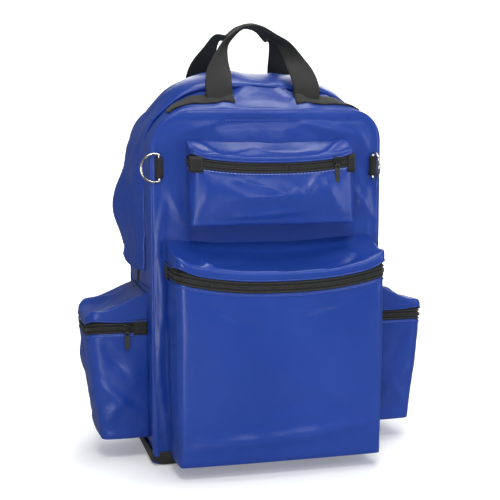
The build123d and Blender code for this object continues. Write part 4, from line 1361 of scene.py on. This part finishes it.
# Each side's loop, from its buckle over the floor to the back's foot, and its loose tail.
FLOOR_ROWS = {
    "left": (
        webbing_rows([(-74, 126, 12)], [(16, 6, 12), (2, 1, 20)],
                     [(-78, 148), (-92, 190), (-113, 217), (-136, 210), (-147, 178), (-149, 140), (-146, 112),
                      (-144, 103.5)]),
        webbing_rows([(-62, 121, 22), (-51, 130, 14)], [(14, 0, 12), (4, 0, 20)],
                     [(-50, 150), (-57, 184), (-74, 219)]),
    ),
    "right": (
        webbing_rows([(117, 124, 14)], [(12, 6, 14)],
                     [(112, 140), (96, 149), (74, 141), (62, 118), (58, 103.5)]),
        webbing_rows([(127, 124, 20), (138, 132, 12)], [(12, 0, 14), (4, 0, 20)],
                     [(150, 142), (155, 160), (149, 174)]),
    ),
}


def strap_ends():
    """The webbing that holds each buckle's two parts, and what lies on the floor below them."""
    for side in ("left", "right"):
        top, low = buckle_ends(side)
        down = (low - top).normalized()
        body = f"strap_{side}"
        wide = Y_AXIS.cross(down).normalized() * 24
        route = []
        for back, out in ((52, -1.0), (38, -0.4), (26, 1.6), (17, 5.9), (11, 4.5)):
            p = top - down * back
            route.append((p.x, FACE_Y + out, p.z, *wide))
        place(ribbon(f"buckle_tab_{side}", route, WEB, WEBBING), body)

        loop, tail = FLOOR_ROWS[side]
        piece = ribbon(f"lower_webbing_{side}_loop", loop, WEB, WEBBING)
        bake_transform(piece)
        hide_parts(f"lower_webbing_{side}")
        place(ribbon(f"lower_webbing_{side}_tail", tail, WEB, WEBBING), body)

        route = []
        for ahead, out in ((-3, 1.5), (3, 10.2), (10, 9.0)):
            p = low + down * ahead
            route.append((p.x, FACE_Y + out, p.z, *wide))
        place(ribbon(f"buckle_strap_{side}", route, WEB, WEBBING), f"male_{side}")


def sternum_strap():
    """The chest strap's two halves: each lies across its shoulder strap, then hangs down to the buckle."""
    female_low, female_high = corners("sternum_female")
    male_low, _ = corners("sternum_male")
    x = (female_low[0] + female_high[0]) / 2
    y = (female_low[1] + female_high[1]) / 2
    top, foot = female_high[2], male_low[2]
    face = FACE_Y + 1.5
    row_z = PALS_ROWS[3]
    route = [(70, face, row_z, *STANDING), (44, face, row_z, *STANDING), (26, face + 1, row_z - 1, 0, 2, 20),
             (8, face + 4, row_z - 3, 3, 8, 17), (-4, face + 9, row_z - 10, 5, 17, 9),
             (x, y, top + 3, 3, 20, 0), (x, y, top - 5, 1, 20, 0)]
    place(ribbon("sternum_strap_right", route, 1.5, WEBBING), "strap_right", "sternum_webbing_right")
    route = [(x, y, foot + 7, 1, 20, 0), (x - 2, y, foot - 3, 3, 20, 0), (x - 8, y - 1, foot - 8, 6, 18, 3),
             (x - 14, y - 3, foot + 2, 3, 18, 0), (x - 15, face + 6, foot + 36, 4, 14, 6),
             (x - 19, face + 2, row_z - 6, 0, 6, 18), (-40, face, row_z, *STANDING),
             (-70, face, row_z, *STANDING)]
    place(ribbon("sternum_strap_left", route, 1.5, WEBBING), "strap_left", "sternum_webbing_left")


# ---- ring tabs, floor and stiffener
def ring_tabs():
    """Webbing wrapped round each ring's bar and sewn to the cover."""
    tall = ring_high[2] - ring_low[2]
    front = ring_low[1]
    for side, sign in (("left", -1), ("right", 1)):
        x = sign * (ring_high[0] - 3.9)
        route = [(x + 4.2, FRONT_Y - 0.6), (x + 4.0, front + 3.2), (x + 2.4, front + 0.5), (x, front - 0.2),
                 (x - 2.4, front + 0.5), (x - 4.0, front + 3.2), (x - 4.2, FRONT_Y - 0.6)]
        rows = [(a, b, RING_Z, 0, 0, tall) for a, b in route]
        piece = ribbon(f"ring_tab_{side}", rows, -1.5, WEBBING, pitch=1.0)
        place(piece, "front_cover", *(["d_ring_tabs"] if sign < 0 else []))
        foot = []
        for dx in (-4.9, 4.9):
            foot.append([Vector((x + dx, front + 4.6, RING_Z + dz)) for dz in range(-12, 13, 4)])
        place(stitches(f"ring_tab_{side}_thread", foot, DARK_THREAD, 2.4, 1.4, 0.35), "front_cover")


def flat_part(name, material, point, thick, outward):
    """A flat piece of cloth or foam between a CAD node's corners, a little uneven inside its edges."""
    low, high = corners(name)
    rows, columns = 40, 30
    grid = []
    for i in range(rows + 1):
        row = []
        for k in range(columns + 1):
            inside = ramp(0, 0.06, min(k, columns - k) / columns) * ramp(0, 0.06, min(i, rows - i) / rows)
            row.append(point(low, high, k / columns, i / rows, inside))
        grid.append(row)
    place(sheet_of(f"{name}_cloth", grid, facing(grid, thick, outward), material), "pack_body", name)


def bottom_point(low, high, u, v, inside):
    """The floor's upper side."""
    x, y = mix(low[0], high[0], u), mix(low[1], high[1], v)
    return Vector((x, y, high[2] - 0.2 + 0.5 * crumple((x, y, 0), 30, 72) * inside))


def back_point(low, high, u, v, inside):
    """The foam's front side, narrower towards its top."""
    x, z = mix(low[0], high[0], u), mix(low[2], high[2], v)
    narrow = 1 - 0.30 * ramp(high[2] - 60, high[2], z) ** 2
    return Vector((x * narrow, low[1] + 0.4 - 0.7 * crumple((x, 0, z), 30, 71) * inside, z))


def flat_parts():
    """The bag's floor cloth, and the foam that lies inside its back."""
    flat_part("bottom_panel", FABRIC, bottom_point, 2.0, Z_AXIS)
    foam_low, foam_high = corners("back_foam")
    flat_part("back_foam", FOAM, back_point, foam_high[1] - foam_low[1] - 0.8, -Y_AXIS)


# ---- hardware that keeps its CAD shape
def hardware():
    """CAD nodes that are seen as they are: only their material changes."""
    finishes = {"d_ring_left": NICKEL, "d_ring_right": NICKEL, "base_board": SHEETING}
    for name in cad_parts:
        if name.startswith("buckle") or name in ("sternum_female", "sternum_male"):
            finishes[name] = PLASTIC
        if name.endswith("_slider") or name.endswith("_pull") or name.startswith("main_slider"):
            finishes[name] = ENAMEL
    for name, material in finishes.items():
        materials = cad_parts[name].data.materials
        materials.clear()
        materials.append(material)


# ---- studio
def sweep():
    """A pale floor that curves up behind the bag, in metres. It gives off light of its own, more towards the
    back, and glossy rays don't see it, so the bag's cloth doesn't mirror it."""
    half, turn_at, radius, height = 7.0, 3.0, 1.6, 6.0
    profile = [(-half, 0.0), (turn_at, 0.0)]
    for k in range(1, 13):
        turn = math.pi / 2 * k / 12
        profile.append((turn_at + radius * math.sin(turn), radius * (1 - math.cos(turn))))
    profile.append((turn_at + radius, height))
    verts = [(x, y, z) for y, z in profile for x in (-half, half)]
    faces = [(2 * k, 2 * k + 1, 2 * k + 3, 2 * k + 2) for k in range(len(profile) - 1)]
    floor = bpy.data.meshes.new("floor")
    floor.from_pydata(verts, [], faces)
    for polygon in floor.polygons:
        polygon.use_smooth = True
    material, tree, surface = shader_of("studio_floor")
    surface["Base Color"].default_value = (0.88, 0.88, 0.88, 1)
    surface["Roughness"].default_value = 0.95
    surface["Specular IOR Level"].default_value = 0.1
    surface["Emission Color"].default_value = (1, 1, 1, 1)
    split = tree.nodes.new("ShaderNodeSeparateXYZ")
    tree.links.new(object_place(tree), split.inputs[0])
    glow = range_node(tree, split.outputs["Y"], 0.6, 3.2, 0.22, 0.95)
    tree.links.new(glow, surface["Emission Strength"])
    floor.materials.append(material)
    ground = bpy.data.objects.new("floor", floor)
    bpy.context.scene.collection.objects.link(ground)
    ground.visible_glossy = False


def studio():
    """A dim pale surrounding and soft area lights, the strongest of them from the front and above."""
    world = bpy.data.worlds.new("studio")
    world.use_nodes = True
    background = world.node_tree.nodes["Background"]
    background.inputs["Color"].default_value = (0.95, 0.97, 1.0, 1)
    background.inputs["Strength"].default_value = 0.16
    bpy.context.scene.world = world
    bpy.context.scene.view_settings.view_transform = "Standard"

    aim = Vector((0, 0, 0.30))
    for name, spot, size, power in (
        ("key", (-0.5, -2.1, 2.9), 0.9, 46),
        ("fill", (0.9, -2.6, 1.75), 0.6, 13),
        ("kick", (-0.9, -1.8, 0.12), 0.7, 13),
        ("side", (1.6, -1.2, 0.5), 0.7, 7),
        ("top", (0.3, 0.0, 2.9), 1.2, 42),
        ("back", (0.8, 2.4, 1.7), 1.8, 30),
    ):
        light = bpy.data.lights.new(name, "AREA")
        light.energy, light.size = power, size
        lamp = bpy.data.objects.new(name, light)
        lamp.location = spot
        lamp.rotation_euler = (aim - Vector(spot)).to_track_quat("-Z", "Y").to_euler()
        bpy.context.scene.collection.objects.link(lamp)


def camera():
    """The photograph's viewpoint: a little to the bag's left side, from above its middle."""
    turn, distance, height, pitch = math.radians(-14.5), 1.60, 0.487, math.radians(-7.0)
    lens = bpy.data.cameras.new("camera")
    lens.lens, lens.sensor_width = 77.0, 36.0
    viewer = bpy.data.objects.new("camera", lens)
    viewer.location = (math.sin(turn) * distance, -math.cos(turn) * distance, height)
    viewer.rotation_euler = (math.radians(90) + pitch, 0, turn)
    bpy.context.scene.collection.objects.link(viewer)
    bpy.context.scene.camera = viewer


main_body()
main_zip()
storm_flap()
boot()
pockets()
zip_ends()
handles()
straps()
strap_ends()
sternum_strap()
ring_tabs()
flat_parts()
hardware()
sweep()
studio()
camera()
